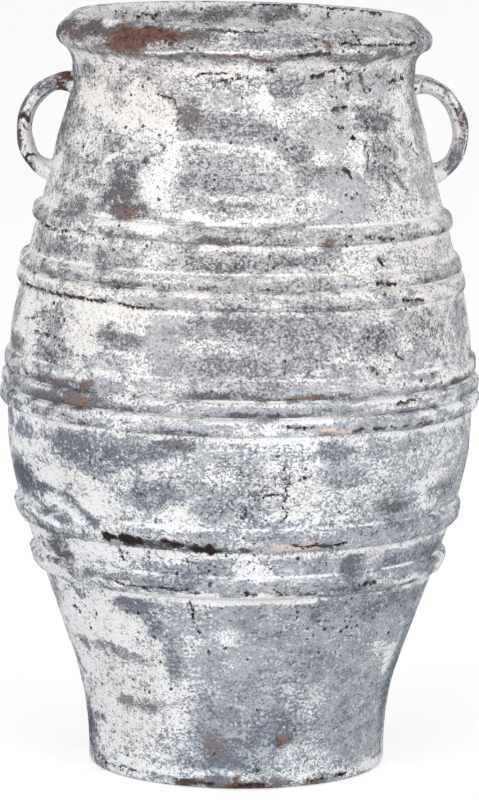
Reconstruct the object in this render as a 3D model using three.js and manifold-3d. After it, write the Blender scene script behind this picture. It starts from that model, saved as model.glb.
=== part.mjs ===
// A tall earthenware storage jar with two ear handles, in millimetres, +Z up.
// The origin is the middle of the underside, so the jar stands on z = 0.
// A jar of this size is built in courses: a base slab, wall rings luted one on another,
// a rim coil, clay cordons pressed over the joints, and two pulled strap handles.

import * as THREE from "three";
import { mergeVertices } from "three/addons/utils/BufferGeometryUtils.js";
import Module from "manifold-3d";

// Heights of the courses, from the ground up.
const slabThickness = 18;
const footRingHeight = 92;
const flareRingHeight = 102;
const waistRingHeight = 50;
const lowerBellyRingHeight = 132;
const upperBellyRingHeight = 112;
const collarRingHeight = 54;
const shoulderRingHeight = 152;
const rimHeight = 50;

// Outer radius of the wall at each joint.
const heelRadius = 149.5;
const footTopRadius = 201.5;
const waistTopRadius = 218.7;
const bellyRadius = 233.8;
const upperBellyTopRadius = 218.6;
const collarTopRadius = 204.6;
const neckRadius = 172.3;
const heelSlope = 0;
const neckSlope = 0.2;

// How far a ring's outside stands out from the straight line between its joints, or lies in from it.
// The foot, which flares the most, is set at a third and at two thirds of its height,
// and the others half-way.
const footLowerHollow = 9.2;
const footUpperHollow = 5.4;
const lowerBellySwell = 7;
const upperBellySwell = 4.2;
const shoulderHollow = 3;

// Wall, and the joints between courses.
const wallThickness = 16;
const jointDrop = 6;
const slipGap = 0.3;

// Worn heel of the base slab.
const heelChamferWidth = 5;
const heelChamferHeight = 7;

// Rim coil: an overhanging collar, a rounded edge and a rounded lip.
const rimOverhang = 16.2;
const rimWidestHeight = 27.5;
const rimEdgeHalfHeight = 8.75;
const rimEdgeRounding = 3.5;
const lipWidth = 12.5;
const lipRounding = 6;
const lipDrop = 12;

// Cordons: height, and how far each stands proud of the wall.
const cordonEdge = 0.8;
const shoulderCordonHeight = 18;
const shoulderCordonProud = 6.4;
const upperCordonTopHeight = 16;
const upperCordonTopProud = 5.5;
const upperCordonBottomHeight = 18;
const upperCordonBottomProud = 4.7;
const bellyRidgeTopHeight = 20;
const bellyRidgeTopProud = 4.8;
const bellyRidgeMiddleHeight = 16;
const bellyRidgeMiddleProud = 6.4;
const bellyRidgeBottomHeight = 18;
const bellyRidgeBottomProud = 7.6;
const waistBeadTopHeight = 24;
const waistBeadTopProud = 6;
const waistBeadBottomHeight = 23;
const waistBeadBottomProud = 6.5;

// Strap handles: half an ellipse standing on the shoulder wall.
const handleTopBelowNeck = 22;
const handleBottomAboveCollar = 42;
const handleReach = 35;
const strapWidth = 30;
const strapThickness = 16;
const strapRootSpread = 0.35;
const strapRootDepth = 10;
const strapArcShare = 0.8;
const strapSpreadPower = 6;

// Average colours of the weathered clay, and how matt it is.
const clayColour = 0xb9b8b7;
const rimColour = 0xaeaaa6;
const cordonColour = 0xa9abad;
const handleColour = 0xb3adaa;
const slabColour = 0x9a8f88;
const clayRoughness = 0.92;

// Faces round the jar, and rows up each course.
const facets = 48;
const footRows = 3;
const bellyRows = 4;
const shortRows = 2;
const shoulderRows = 7;
const cordonRows = 4;
const curveRows = 4;
const strapSides = 12;
const strapSteps = 20;

// Corners closer than this are one corner.
const mergeDistance = 1e-4;

// Joint heights, worked out from the courses.
const footRingTop = slabThickness + footRingHeight;
const footTop = footRingTop + flareRingHeight;
const waistTop = footTop + waistRingHeight;
const bellyJoint = waistTop + lowerBellyRingHeight;
const upperBellyTop = bellyJoint + upperBellyRingHeight;
const collarTop = upperBellyTop + collarRingHeight;
const neckHeight = collarTop + shoulderRingHeight;

// The wall's joints: height and radius.
const heel = [slabThickness, heelRadius];
const footJoint = [footTop, footTopRadius];
const waistJoint = [waistTop, waistTopRadius];
const belly = [bellyJoint, bellyRadius];
const pairJoint = [upperBellyTop, upperBellyTopRadius];
const collarJoint = [collarTop, collarTopRadius];
const neck = [neckHeight, neckRadius];

// A point of the outline some share of the way between two joints, moved out by a swell.
function between(start, end, share, swell) {
  const height = THREE.MathUtils.lerp(start[0], end[0], share);
  const radius = THREE.MathUtils.lerp(start[1], end[1], share) + swell;
  return [height, radius];
}

// The wall's outline: height and radius where each is set.
const stations = [
  heel,
  between(heel, footJoint, 1 / 3, -footLowerHollow),
  between(heel, footJoint, 2 / 3, -footUpperHollow),
  footJoint,
  waistJoint,
  between(waistJoint, belly, 1 / 2, lowerBellySwell),
  belly,
  between(belly, pairJoint, 1 / 2, upperBellySwell),
  pairJoint,
  collarJoint,
  between(collarJoint, neck, 1 / 2, -shoulderHollow),
  neck,
];

// Slope of the outline at station i: the mean of the two spans beside it, the shorter counting more.
function stationSlope(i) {
  if (i === 0) return heelSlope;
  if (i === stations.length - 1) return neckSlope;
  const [below, here, above] = [stations[i - 1], stations[i], stations[i + 1]];
  const spanBelow = here[0] - below[0];
  const spanAbove = above[0] - here[0];
  const slopeBelow = (here[1] - below[1]) / spanBelow;
  const slopeAbove = (above[1] - here[1]) / spanAbove;
  return (slopeBelow * spanAbove + slopeAbove * spanBelow) / (spanBelow + spanAbove);
}

// Outer radius of the wall at a height: a cubic curve through the stations.
function wallRadius(z) {
  const last = stations.length - 2;
  const found = stations.findIndex((s, i) => i > 0 && z <= s[0]) - 1;
  const i = found < 0 ? last : found;
  const [z0, r0] = stations[i];
  const [z1, r1] = stations[i + 1];
  const span = z1 - z0;
  const t = THREE.MathUtils.clamp((z - z0) / span, 0, 1);
  const startShare = (1 + 2 * t) * (1 - t) ** 2;
  const endShare = t * t * (3 - 2 * t);
  const startPull = t * (1 - t) ** 2 * span * stationSlope(i);
  const endPull = t * t * (t - 1) * span * stationSlope(i + 1);
  return startShare * r0 + endShare * r1 + startPull + endPull;
}

// An outline of [radius, height] points turned round the Z axis. It runs up the outside,
// and starts and ends on the axis or at one point.
function turned(points) {
  const outline = points.map(([r, z]) => new THREE.Vector2(r, z));
  return new THREE.LatheGeometry(outline, facets).rotateX(Math.PI / 2);
}

const jar = new THREE.Group();

function add(name, geometry, color) {
  const material = new THREE.MeshStandardMaterial({ color, roughness: clayRoughness });
  const mesh = new THREE.Mesh(geometry, material);
  mesh.name = name;
  jar.add(mesh);
  return mesh;
}

// The base slab: a disc whose lower corner is worn to a chamfer. Its top carries the foot ring.
function slabGeometry() {
  return turned([
    [0, 0],
    [heelRadius - heelChamferWidth, 0],
    [heelRadius, heelChamferHeight],
    [heelRadius, slabThickness],
    [0, slabThickness],
  ]);
}

// Points up the wall between two heights, moved out by an offset.
function wallPoints(bottom, top, rows, offset) {
  const points = [];
  for (let i = 0; i <= rows; i++) {
    const z = THREE.MathUtils.lerp(bottom, top, i / rows);
    points.push([wallRadius(z) + offset, z]);
  }
  return points;
}

// Each wall ring: its name, lower joint, upper joint and rows of faces.
const rings = [
  ["foot_ring", slabThickness, footRingTop, footRows],
  ["flare_ring", footRingTop, footTop, footRows],
  ["waist_ring", footTop, waistTop, shortRows],
  ["lower_belly_ring", waistTop, bellyJoint, bellyRows],
  ["upper_belly_ring", bellyJoint, upperBellyTop, bellyRows],
  ["collar_ring", upperBellyTop, collarTop, shortRows],
  ["shoulder_ring", collarTop, neckHeight, shoulderRows],
];

// The foot ring stands flat on the slab. Every other joint slopes down towards the inside,
// so that a ring seats itself on the one below, over a thin layer of slip.
function ringOutside(bottom, top, rows) {
  const lower = bottom > slabThickness ? bottom + slipGap : bottom;
  return wallPoints(lower, top, rows, 0);
}

function ringGeometry(bottom, top, rows) {
  const outside = ringOutside(bottom, top, rows);
  const lower = bottom > slabThickness ? bottom + slipGap - jointDrop : bottom;
  const inside = wallPoints(lower, top - jointDrop, rows, -wallThickness);
  return turned([...outside, ...inside.reverse(), outside[0]]);
}

// Every corner up the outside of the stacked rings, which is what the cordons lie on.
const wallCorners = rings.flatMap(([, bottom, top, rows]) => ringOutside(bottom, top, rows));

// Radius of the stacked rings' faces at a height, straight from corner to corner.
function faceRadius(z) {
  const above = wallCorners.findIndex((corner) => corner[1] >= z);
  const [r0, z0] = wallCorners[above - 1];
  const [r1, z1] = wallCorners[above];
  return THREE.MathUtils.mapLinear(z, z0, z1, r0, r1);
}

// The rim coil: a cove out to the overhang, a rounded edge, a slope up to the lip, and the bore.
function rimGeometry() {
  const bore = wallRadius(neckHeight - jointDrop) - wallThickness;
  const lipRadius = bore + lipWidth;
  const edgeRadius = neckRadius + rimOverhang - rimEdgeRounding;
  const edgeCorner = neckRadius + rimOverhang + rimEdgeRounding;
  const edgeBottom = rimWidestHeight - rimEdgeHalfHeight;
  const edgeTop = rimWidestHeight + rimEdgeHalfHeight;
  const coveHeight = rimWidestHeight / 2;
  const coveRadius = neckRadius + neckSlope * coveHeight;
  const shape = new THREE.Path();
  shape.moveTo(neckRadius, slipGap);
  shape.quadraticCurveTo(coveRadius, coveHeight, edgeRadius, edgeBottom);
  shape.quadraticCurveTo(edgeCorner, rimWidestHeight, edgeRadius, edgeTop);
  shape.lineTo(lipRadius + lipRounding, rimHeight - lipRounding / 2);
  shape.quadraticCurveTo(lipRadius + lipRounding / 2, rimHeight, lipRadius, rimHeight);
  shape.quadraticCurveTo(bore, rimHeight, bore, rimHeight - lipDrop);
  shape.lineTo(bore, slipGap - jointDrop);
  shape.closePath();
  return turned(shape.getPoints(curveRows).map((p) => [p.x, neckHeight + p.y]));
}

// A cordon: a bead pressed on the wall, whose back follows the rings' faces one slip layer away.
// Its face is half an ellipse between two thin edges.
function cordonGeometry(middle, height, proud) {
  const face = [];
  for (let i = 0; i <= cordonRows; i++) {
    const angle = (Math.PI * i) / cordonRows;
    const z = middle - (height / 2) * Math.cos(angle);
    const bulge = (proud - slipGap - cordonEdge) * Math.sin(angle);
    face.push([faceRadius(z) + slipGap + cordonEdge + bulge, z]);
  }
  const low = face[0][1];
  const high = face[cordonRows][1];
  const corners = wallCorners.filter(([, z]) => z > low && z < high).map(([, z]) => z);
  const back = [low, ...corners, high].map((z) => [faceRadius(z) + slipGap, z]);
  return turned([...face, ...back.reverse(), face[0]]);
}

const wasm = await Module();
wasm.setup();

function toSolid(geometry) {
  const bare = geometry.clone();
  bare.deleteAttribute("normal");
  bare.deleteAttribute("uv");
  const merged = mergeVertices(bare, mergeDistance);
  return new wasm.Manifold(
    new wasm.Mesh({
      numProp: 3,
      vertProperties: new Float32Array(merged.attributes.position.array),
      triVerts: new Uint32Array(merged.index.array),
    }),
  );
}

function toGeometry(solid) {
  const mesh = solid.getMesh();
  const geometry = new THREE.BufferGeometry();
  geometry.setAttribute("position", new THREE.BufferAttribute(mesh.vertProperties, 3));
  geometry.setIndex(new THREE.BufferAttribute(mesh.triVerts, 1));
  geometry.computeVertexNormals();
  return geometry;
}

// The shoulder wall filled to the axis and grown by the slip layer. It cuts the handle's roots to fit.
function shoulderEnvelope() {
  const lower = collarTop + slipGap;
  const wall = wallPoints(lower, neckHeight, shoulderRows, slipGap);
  return turned([[0, lower], ...wall, [0, neckHeight]]);
}

// The handle on the +X side: an oval strap bent round half an ellipse, whose ends run on into the wall
// and spread a little where they are smeared on.
function handleGeometry() {
  const topHeight = neckHeight - handleTopBelowNeck;
  const bottomHeight = collarTop + handleBottomAboveCollar;
  const top = new THREE.Vector2(wallRadius(topHeight), topHeight);
  const bottom = new THREE.Vector2(wallRadius(bottomHeight), bottomHeight);
  const middle = top.clone().add(bottom).multiplyScalar(0.5);
  const up = top.clone().sub(bottom).normalize();
  const out = new THREE.Vector2(up.y, -up.x);
  const halfSpan = top.distanceTo(bottom) / 2;
  const geometry = new THREE.CylinderGeometry(1, 1, 1, strapSides, strapSteps);
  const place = geometry.attributes.position;
  for (let i = 0; i < place.count; i++) {
    const along = place.getY(i) * 2;
    const bend = THREE.MathUtils.clamp(along / strapArcShare, -1, 1);
    const past = Math.max(0, Math.abs(along) - strapArcShare) / (1 - strapArcShare);
    const angle = (bend * Math.PI) / 2;
    const centre = middle
      .clone()
      .addScaledVector(out, Math.cos(angle) * handleReach - past * strapRootDepth)
      .addScaledVector(up, Math.sin(angle) * halfSpan);
    const normal = out
      .clone()
      .multiplyScalar(Math.cos(angle) * halfSpan)
      .addScaledVector(up, Math.sin(angle) * handleReach)
      .normalize();
    const spread = 1 + strapRootSpread * Math.abs(along) ** strapSpreadPower;
    centre.addScaledVector(normal, (place.getX(i) * strapThickness * spread) / 2);
    place.setXYZ(i, centre.x, (-place.getZ(i) * strapWidth * spread) / 2, centre.y);
  }
  return toGeometry(toSolid(geometry).subtract(toSolid(shoulderEnvelope())));
}

add("base_slab", slabGeometry(), slabColour);

for (const [name, bottom, top, rows] of rings) {
  add(name, ringGeometry(bottom, top, rows), clayColour);
}

add("rim_collar", rimGeometry(), rimColour);

// Two cordons meet at the collar ring's lower joint. Three stand at the belly joint,
// and the middle one covers it.
const ridgeAbove = bellyJoint + bellyRidgeMiddleHeight / 2 + slipGap + bellyRidgeTopHeight / 2;
const ridgeBelow = bellyJoint - bellyRidgeMiddleHeight / 2 - slipGap - bellyRidgeBottomHeight / 2;
const pairAbove = upperBellyTop + slipGap / 2 + upperCordonTopHeight / 2;
const pairBelow = upperBellyTop - slipGap / 2 - upperCordonBottomHeight / 2;
const cordons = [
  ["shoulder_cordon", collarTop, shoulderCordonHeight, shoulderCordonProud],
  ["upper_cordon_top", pairAbove, upperCordonTopHeight, upperCordonTopProud],
  ["upper_cordon_bottom", pairBelow, upperCordonBottomHeight, upperCordonBottomProud],
  ["belly_ridge_top", ridgeAbove, bellyRidgeTopHeight, bellyRidgeTopProud],
  ["belly_ridge_middle", bellyJoint, bellyRidgeMiddleHeight, bellyRidgeMiddleProud],
  ["belly_ridge_bottom", ridgeBelow, bellyRidgeBottomHeight, bellyRidgeBottomProud],
  ["waist_bead_top", waistTop, waistBeadTopHeight, waistBeadTopProud],
  ["waist_bead_bottom", footTop, waistBeadBottomHeight, waistBeadBottomProud],
];
for (const [name, middle, height, proud] of cordons) {
  add(name, cordonGeometry(middle, height, proud), cordonColour);
}

// The handles stand opposite each other: the left one is the right one turned half round.
add("right_handle", handleGeometry(), handleColour);
add("left_handle", handleGeometry(), handleColour).rotation.z = Math.PI;

export default jar;
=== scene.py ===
# %% [markdown]
# # A weathered jar with two handles
# The real object is a tall earthenware storage jar, built in courses, with the marks of hand work left on.
# It was fired, coated with a grey slip and brushed with whitewash, and the weather has worn through both.
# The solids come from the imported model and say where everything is. This script lays a finer skin on each
# solid, with the wobble of a hand-built pot, and then gives the skins their worn coats.

from functools import partial

import bpy
import numpy as np
from mathutils import Matrix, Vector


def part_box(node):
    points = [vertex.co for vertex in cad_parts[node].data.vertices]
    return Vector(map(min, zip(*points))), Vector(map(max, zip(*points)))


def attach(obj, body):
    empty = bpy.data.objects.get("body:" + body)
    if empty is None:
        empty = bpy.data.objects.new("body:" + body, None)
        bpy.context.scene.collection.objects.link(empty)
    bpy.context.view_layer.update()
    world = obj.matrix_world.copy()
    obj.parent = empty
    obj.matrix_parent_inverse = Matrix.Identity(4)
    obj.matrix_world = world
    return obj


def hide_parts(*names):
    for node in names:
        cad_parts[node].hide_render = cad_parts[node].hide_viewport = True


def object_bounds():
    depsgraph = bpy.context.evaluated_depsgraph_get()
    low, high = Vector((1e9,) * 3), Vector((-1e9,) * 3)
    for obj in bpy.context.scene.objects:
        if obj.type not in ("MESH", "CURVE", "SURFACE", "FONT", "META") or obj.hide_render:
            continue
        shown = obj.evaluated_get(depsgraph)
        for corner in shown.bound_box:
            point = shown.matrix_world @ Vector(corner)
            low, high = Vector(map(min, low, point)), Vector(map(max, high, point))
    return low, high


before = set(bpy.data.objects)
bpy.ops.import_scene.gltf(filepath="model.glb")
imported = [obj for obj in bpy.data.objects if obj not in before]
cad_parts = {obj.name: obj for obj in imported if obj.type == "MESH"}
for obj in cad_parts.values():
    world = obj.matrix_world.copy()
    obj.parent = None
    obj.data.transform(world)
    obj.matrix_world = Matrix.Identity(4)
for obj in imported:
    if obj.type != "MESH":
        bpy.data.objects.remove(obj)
cad_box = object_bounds()
MM = 0.001
print("the solids' box in metres:", [[round(value, 4) for value in corner] for corner in cad_box])

# %% [markdown]
# ## The outline of the wall
# A turned pot is described by one curve: the wall's radius at each height. Typing that curve again would
# let the skins drift off the solids, so it is read from them. Only the faces that look away from the axis
# belong to the outside. A smooth curve through their corners takes out the flats that the solids have.

# %% Read the outline from the wall rings
WALL_RINGS = [
    "foot_ring",
    "flare_ring",
    "waist_ring",
    "lower_belly_ring",
    "upper_belly_ring",
    "collar_ring",
    "shoulder_ring",
]
OUTWARD_SHARE = 0.6
CLOSEST_CORNERS = 2 * MM


def outward_corners(node):
    """Height and radius of the corners of a node's outer faces.
    A face is outer where its normal's share away from the axis is over OUTWARD_SHARE."""
    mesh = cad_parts[node].data
    place = np.empty(3 * len(mesh.vertices))
    mesh.vertices.foreach_get("co", place)
    place = place.reshape(-1, 3)
    corner = np.empty(len(mesh.loops), int)
    mesh.loops.foreach_get("vertex_index", corner)
    faces = place[corner.reshape(-1, 3)]
    normal = np.cross(faces[:, 1] - faces[:, 0], faces[:, 2] - faces[:, 0])
    middle = faces.mean(1)
    outwards = (normal * middle)[:, :2].sum(1)
    away = outwards / (np.linalg.norm(normal, axis=1) * np.linalg.norm(middle[:, :2], axis=1))
    outer = faces[away > OUTWARD_SHARE].reshape(-1, 3)
    return np.column_stack([outer[:, 2], np.hypot(outer[:, 0], outer[:, 1])])


corners = np.unique(np.vstack([outward_corners(ring) for ring in WALL_RINGS]).round(5), axis=0)
kept = np.concatenate([[True], np.diff(corners[:, 0]) > CLOSEST_CORNERS])
outline_height, outline_radius = corners[kept].T
outline_slope = np.gradient(outline_radius, outline_height)
print(len(outline_height), "corners from", outline_height[0], "to", outline_height[-1], "m")


def wall_radius(height):
    """Cubic curve through the outline's corners, where each corner's slope is that between its neighbours:
    (1 + 2t)(1-t)^2 a + t^2 (3 - 2t) b, plus the span times t(1-t)^2 a' + t^2 (t-1) b'."""
    i = np.clip(np.searchsorted(outline_height, height) - 1, 0, len(outline_height) - 2)
    span = outline_height[i + 1] - outline_height[i]
    t = np.clip((height - outline_height[i]) / span, 0, 1)
    ends = (1 + 2 * t) * (1 - t) ** 2 * outline_radius[i] + t * t * (3 - 2 * t) * outline_radius[i + 1]
    pull = t * (1 - t) ** 2 * outline_slope[i] + t * t * (t - 1) * outline_slope[i + 1]
    return ends + span * pull


# %% [markdown]
# ## Unevenness that looks made by hand
# Nothing on a hand-built pot is quite round or level. Random numbers at every point would look like gravel,
# so the unevenness comes from clouds: random values on a coarse net wrapped round the jar, eased between
# the knots. A cloud with wide cells leans the whole wall, and one with small cells leaves finger marks.

# %% Clouds wrapped round the jar
JAR_HEIGHT = cad_box[1][2]
FULL_TURN = 360.0
ROWS_BELOW = 3
SPARE_ROWS = 8


def eased(t):
    """Smooth step without a kink at either end: 6t^5 - 15t^4 + 10t^3."""
    return t * t * t * (t * (6 * t - 15) + 10)


def cloud(seed, across, up):
    """Random values from -1 to 1 on a net of cells `across` degrees wide and `up` millimetres high.
    The net closes round the jar, and a point between knots gets their eased mixture."""
    columns = max(int(round(FULL_TURN / across)), 2)
    rows = int(JAR_HEIGHT / (up * MM)) + SPARE_ROWS
    net = np.random.default_rng(seed).uniform(-1, 1, (rows, columns))

    def value(angle, height):
        u = (angle / FULL_TURN) % 1.0 * columns
        v = np.clip(height / up + ROWS_BELOW, 0, rows - 2)
        i, j = np.floor(v).astype(int), np.floor(u).astype(int)
        s, t = eased(v - i), eased(u - j)
        j, k = j % columns, (j + 1) % columns
        low = net[i, j] * (1 - t) + net[i, k] * t
        high = net[i + 1, j] * (1 - t) + net[i + 1, k] * t
        return low * (1 - s) + high * s

    return value


def heaped(seed, across, up, layers=3):
    """Sum of clouds, each with half the cells and half the weight of the one before."""
    parts = [cloud(seed + n, across / 2**n, up / 2**n) for n in range(layers)]
    total = sum(0.5**n for n in range(layers))
    return lambda angle, height: sum(part(angle, height) * 0.5**n for n, part in enumerate(parts)) / total


sway = cloud(11, 60, 160)
hand_marks = heaped(12, 24, 45)
finger_marks = heaped(15, 6, 14, 2)
SWAY_DEPTH = 0.9
HAND_DEPTH = 0.9
FINGER_DEPTH = 0.35


def unevenness(angle, height):
    """How far the surface stands off the true outline, in millimetres: sway + hand marks + finger marks, each
    its depth times its cloud."""
    return (
        SWAY_DEPTH * sway(angle, height)
        + HAND_DEPTH * hand_marks(angle, height)
        + FINGER_DEPTH * finger_marks(angle, height)
    )


around, upwards = np.meshgrid(np.arange(0, FULL_TURN, 5.0), np.arange(0, JAR_HEIGHT / MM, 10.0))
off = unevenness(around, upwards)
print(f"the surface stands {off.min():.2f} to {off.max():.2f} mm off its outline")

# %% [markdown]
# ## Where the cordons run
# The cordons are ropes of clay pressed on by eye, so each leans a little its own way and wanders.
# Their heights and how far they stand proud are measured on the solids. The lean is how much lower the
# right side lies than the left. Wall and cordon both ask the same function, so the paint that gathers
# in the corner between them can be laid exactly there.

# %% Measure the cordons
CORDON_LEAN = {
    "shoulder_cordon": 6.0,
    "upper_cordon_top": 2.0,
    "upper_cordon_bottom": 4.0,
    "belly_ridge_top": 2.0,
    "belly_ridge_middle": 2.0,
    "belly_ridge_bottom": 2.0,
    "waist_bead_top": 1.0,
    "waist_bead_bottom": 0.0,
}
RIM_LEAN = 4.0
WANDER = 0.8
wander = cloud(31, 30, 60)


def measured_cordon(node):
    """Middle height, half height and how far it stands proud, in millimetres, from the node's box."""
    low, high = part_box(node)
    middle = (low.z + high.z) / 2
    proud = high.x - wall_radius(middle)
    return middle / MM, (high.z - low.z) / 2 / MM, proud / MM


CORDONS = {node: measured_cordon(node) for node in CORDON_LEAN}
for node, (middle, half, proud) in CORDONS.items():
    print(f"{node}: middle {middle:.1f}, half height {half:.1f}, proud {proud:.1f} mm")


def cordon_middle(node, angle):
    """Height of a cordon's middle: half its lean up on the left and down on the right, and a wander."""
    middle = CORDONS[node][0]
    lean = CORDON_LEAN[node] / 2 * np.sin(np.radians(angle))
    return middle - lean + WANDER * wander(angle, np.full_like(angle, middle))


# %% [markdown]
# ## Worn places, placed one by one
# Whitewash wears where hands, rain and brushes met it, so the worn places are a choice, not chance.
# A few of them, on the rim's underside and under the shoulder cordon, are painted shade.
# Each has a name and five numbers: angle from the front, height in millimetres, half width in degrees,
# half height and strength. A sixth says how far it climbs for each degree to the right. A list like this is
# the sculptor's map of the jar, read from the rim down. The ragged outline comes from clouds that push
# every point about.

# %% Lay a patch
ragged_across = heaped(41, 7, 14)
ragged_up = heaped(45, 7, 14)
RAGGED_DEGREES = 2.4
RAGGED_HEIGHT = 7.0
PATCH_REACH = 1.9
HALF_TURN = 180.0


def laid(level, patches, angle, height):
    """Level plus every patch's strength times exp(-d^4), where d is the distance from the patch's middle
    in half widths, measured from a point pushed about by the ragged clouds."""
    level = np.array(level, float) + np.zeros_like(angle)
    across = angle + RAGGED_DEGREES * ragged_across(angle, height)
    up = height + RAGGED_HEIGHT * ragged_up(angle, height)
    for middle_angle, middle_height, half_width, half_height, strength, *climb in patches.values():
        turn = (across - middle_angle + HALF_TURN) % FULL_TURN - HALF_TURN
        rise = up - middle_height - (climb[0] if climb else 0) * turn
        near = (np.abs(turn) < PATCH_REACH * half_width) & (np.abs(rise) < PATCH_REACH * half_height)
        distance = (turn[near] / half_width) ** 2 + (rise[near] / half_height) ** 2
        level[near] += strength * np.exp(-(distance**2))
    return level


trial = laid(0.0, {"trial": (0, 100, 20, 20, 1.0)}, around, upwards)
print(f"a patch of 40 degrees by 40 mm is over half strength on {(trial > 0.5).mean():.2%} of the jar")

# %% Whitewash on the rim and the neck
WORN = {
    "rim left end": (-76, 748, 16, 16, 0.32),
    "rim left face": (-52, 750, 18, 9, 0.6),
    "rim front left": (-23, 753, 14, 6, 0.85),
    "rim right end": (72, 746, 14, 14, 0.22),
    "rim right face": (45, 752, 20, 5, 0.12),
    "neck band front": (-15, 731, 9, 5, 0.42),
    "neck dashes left": (-65, 708, 6, 10, 0.55),
    "neck dashes middle": (-34, 714, 10, 8, 0.25),
    "rim brown top": (-38, 757, 8, 5, 0.4),
    "rim front right": (10, 750, 14, 7, 0.18),
    # Painted shade on the rim's underside, at the right.
    "rim underside shade right": (30, 728, 22, 5, 0.2),
    # A band all round on the rim's underside: painted shade under the rim.
    "neck band": (0, 731, 84, 6, 0.24),
    "rim front": (2, 750, 30, 8, 0.04),
    "rim low left": (-42, 733, 28, 5, 0.28),
    "neck right edge": (78, 712, 7, 18, 0.5),
    # Painted shade on the rim's underside, far to the right.
    "rim underside shade far right": (58, 731, 24, 5, 0.2),
    "rim brown under": (-24, 745, 16, 8, 0.3),
}
THICK = {
    "inner lip left": (-60, 760, 26, 4, 0.2),
    "rim scuff left": (-50, 743, 6, 5, 0.4),
    "rim front pale": (2, 740, 18, 4, 0.1),
    "neck left": (-48, 722, 26, 12, 0.08),
    "neck front line": (-6, 716, 14, 4, 0.25),
    "rim front light": (-5, 751, 5, 5, 0.25),
    "rim left light": (-64, 751, 6, 7, 0.45),
    "rim low light": (-36, 732, 6, 5, 0.25),
    "neck left end light": (-75, 730, 6, 8, 0.14),
}
print(len(WORN), "worn and", len(THICK), "thick places")

# %% Whitewash on the shoulder
WORN |= {
    "shoulder left edge": (-80, 680, 9, 62, 0.5),
    "shoulder left streak": (-65, 664, 6, 18, 0.3, 1.0),
    "shoulder left slate streak": (-66, 622, 8, 12, 0.25),
    "shoulder left low": (-56, 600, 18, 26, 0.16),
    "shoulder left above cordon": (-56, 576, 12, 7, 0.3),
    "shoulder wedge": (-37, 602, 6.5, 27, 0.55),
    "shoulder wedge foot": (-32, 578, 8, 8, 0.34),
    "shoulder front square": (-7, 656, 16, 12, 0.16),
    "shoulder front top": (-18, 680, 5, 16, 0.32),
    "shoulder front dark band": (-14, 670, 6, 14, 0.08),
    "shoulder front lower": (-6, 624, 15, 14, 0.18),
    "shoulder front low band": (-2, 605, 19, 8, 0.26),
    "shoulder front foot": (0, 586, 20, 8, 0.12),
    "shoulder sweep": (22, 640, 7, 18, 0.06, -2.3),
    "shoulder right upper stipple": (14, 700, 8, 16, 0.34),
    "shoulder right brushed": (47, 665, 8, 10, 0.24),
    "shoulder right brushed low": (48, 622, 7, 22, 0.2),
    "shoulder right edge": (75, 665, 6, 28, 0.28),
    "above cordon front": (0, 570, 26, 4, 0.35),
    "shoulder left texture": (-50, 636, 12, 22, 0.12),
    "shoulder middle texture": (-28, 636, 6, 26, 0.26),
    "shoulder left inner streak": (-45, 688, 5, 22, 0.2),
    "shoulder left low streak": (-45, 640, 6, 22, 0.16),
    "above cordon middle": (-25, 570, 6, 8, 0.2),
    "shoulder left edge low": (-75, 640, 6, 16, 0.15),
    "brushed edge dark": (70, 650, 4, 8, 0.04),
}
THICK |= {
    "shoulder left white": (-57, 681, 9, 12, 0.35),
    "shoulder left middle": (-38, 672, 15, 22, 0.3),
    "shoulder white flank": (-25, 622, 6, 50, 0.35),
    "shoulder left low root lime and highlight": (-76, 614, 6, 10, 0.4),
    "shoulder low root lime and highlight": (-16, 574, 8, 6, 0.35),
    "shoulder far right white": (63, 675, 6, 24, 0.15),
    "shoulder right light": (60, 640, 10, 30, 0.08),
    "shoulder edge light": (64, 650, 12, 44, 0.04),
    "lavender light": (36, 630, 5, 14, 0.15),
    "shoulder light spot": (-55, 628, 4, 8, 0.2),
    "above cordon left": (-36, 570, 8, 8, 0.3),
    "shoulder low right edge": (75, 572, 6, 10, 0.2),
    "shoulder right light spot": (25, 632, 5, 8, 0.2),
    "strip top light": (25, 682, 6, 16, 0.14),
    "brown patch light": (-14, 668, 5, 8, 0.1),
    "shoulder square low light": (3, 608, 8, 5, 0.05),
    "shoulder edge spot": (65, 650, 5, 9, 0.12),
}
print(len(WORN), "worn and", len(THICK), "thick places")

# %% Whitewash on the cordons and the upper belly
WORN |= {
    "collar left": (-62, 533, 16, 12, 0.36),
    "collar left middle": (-38, 532, 9, 10, 0.34),
    "collar front": (-2, 534, 17, 10, 0.3),
    "collar right": (18, 535, 8, 10, 0.24),
    "upper belly left edge": (-82, 478, 7, 24, 0.45),
    "upper belly left edge low": (-76, 434, 10, 14, 0.5),
    "upper belly patch": (-54, 470, 8, 16, 0.34),
    "upper belly small patch": (-32, 456, 8, 12, 0.66),
    "upper belly slate patch": (-51, 431, 11, 12, 0.38),
    "upper belly front top": (-6, 472, 9, 13, 0.32),
    "upper belly front": (14, 470, 17, 22, 0.2),
    "upper belly front band": (2, 433, 19, 13, 0.27),
    "upper belly right": (35, 455, 6, 17, 0.33),
    "upper belly far right": (57, 466, 6, 17, 0.2),
    "upper belly right edge": (76, 468, 6, 28, 0.25),
    "upper belly right low": (60, 414, 11, 9, 0.05),
    "cordons left": (-52, 510, 22, 6, 0.42),
    "cordons right": (14, 510, 14, 5, 0.15),
    "upper belly low left": (-35, 432, 8, 8, 0.3),
    "collar middle": (-25, 532, 6, 10, 0.22),
    "cordon front": (-5, 552, 18, 6, 0.2),
    # Under the shoulder cordon's left end: painted shadow, laid as worn whitewash.
    "cordon underside shade left": (-52, 551, 12, 4, 0.12),
    "cordon left end": (-76, 556, 8, 14, 0.25),
    "cordon front right": (25, 550, 6, 7, 0.2),
    "under pair left end": (-76, 492, 6, 10, 0.25),
    "above cordon left middle": (-35, 553, 6, 7, 0.2),
    "upper belly slate low": (-55, 450, 6, 9, 0.18),
}
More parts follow.
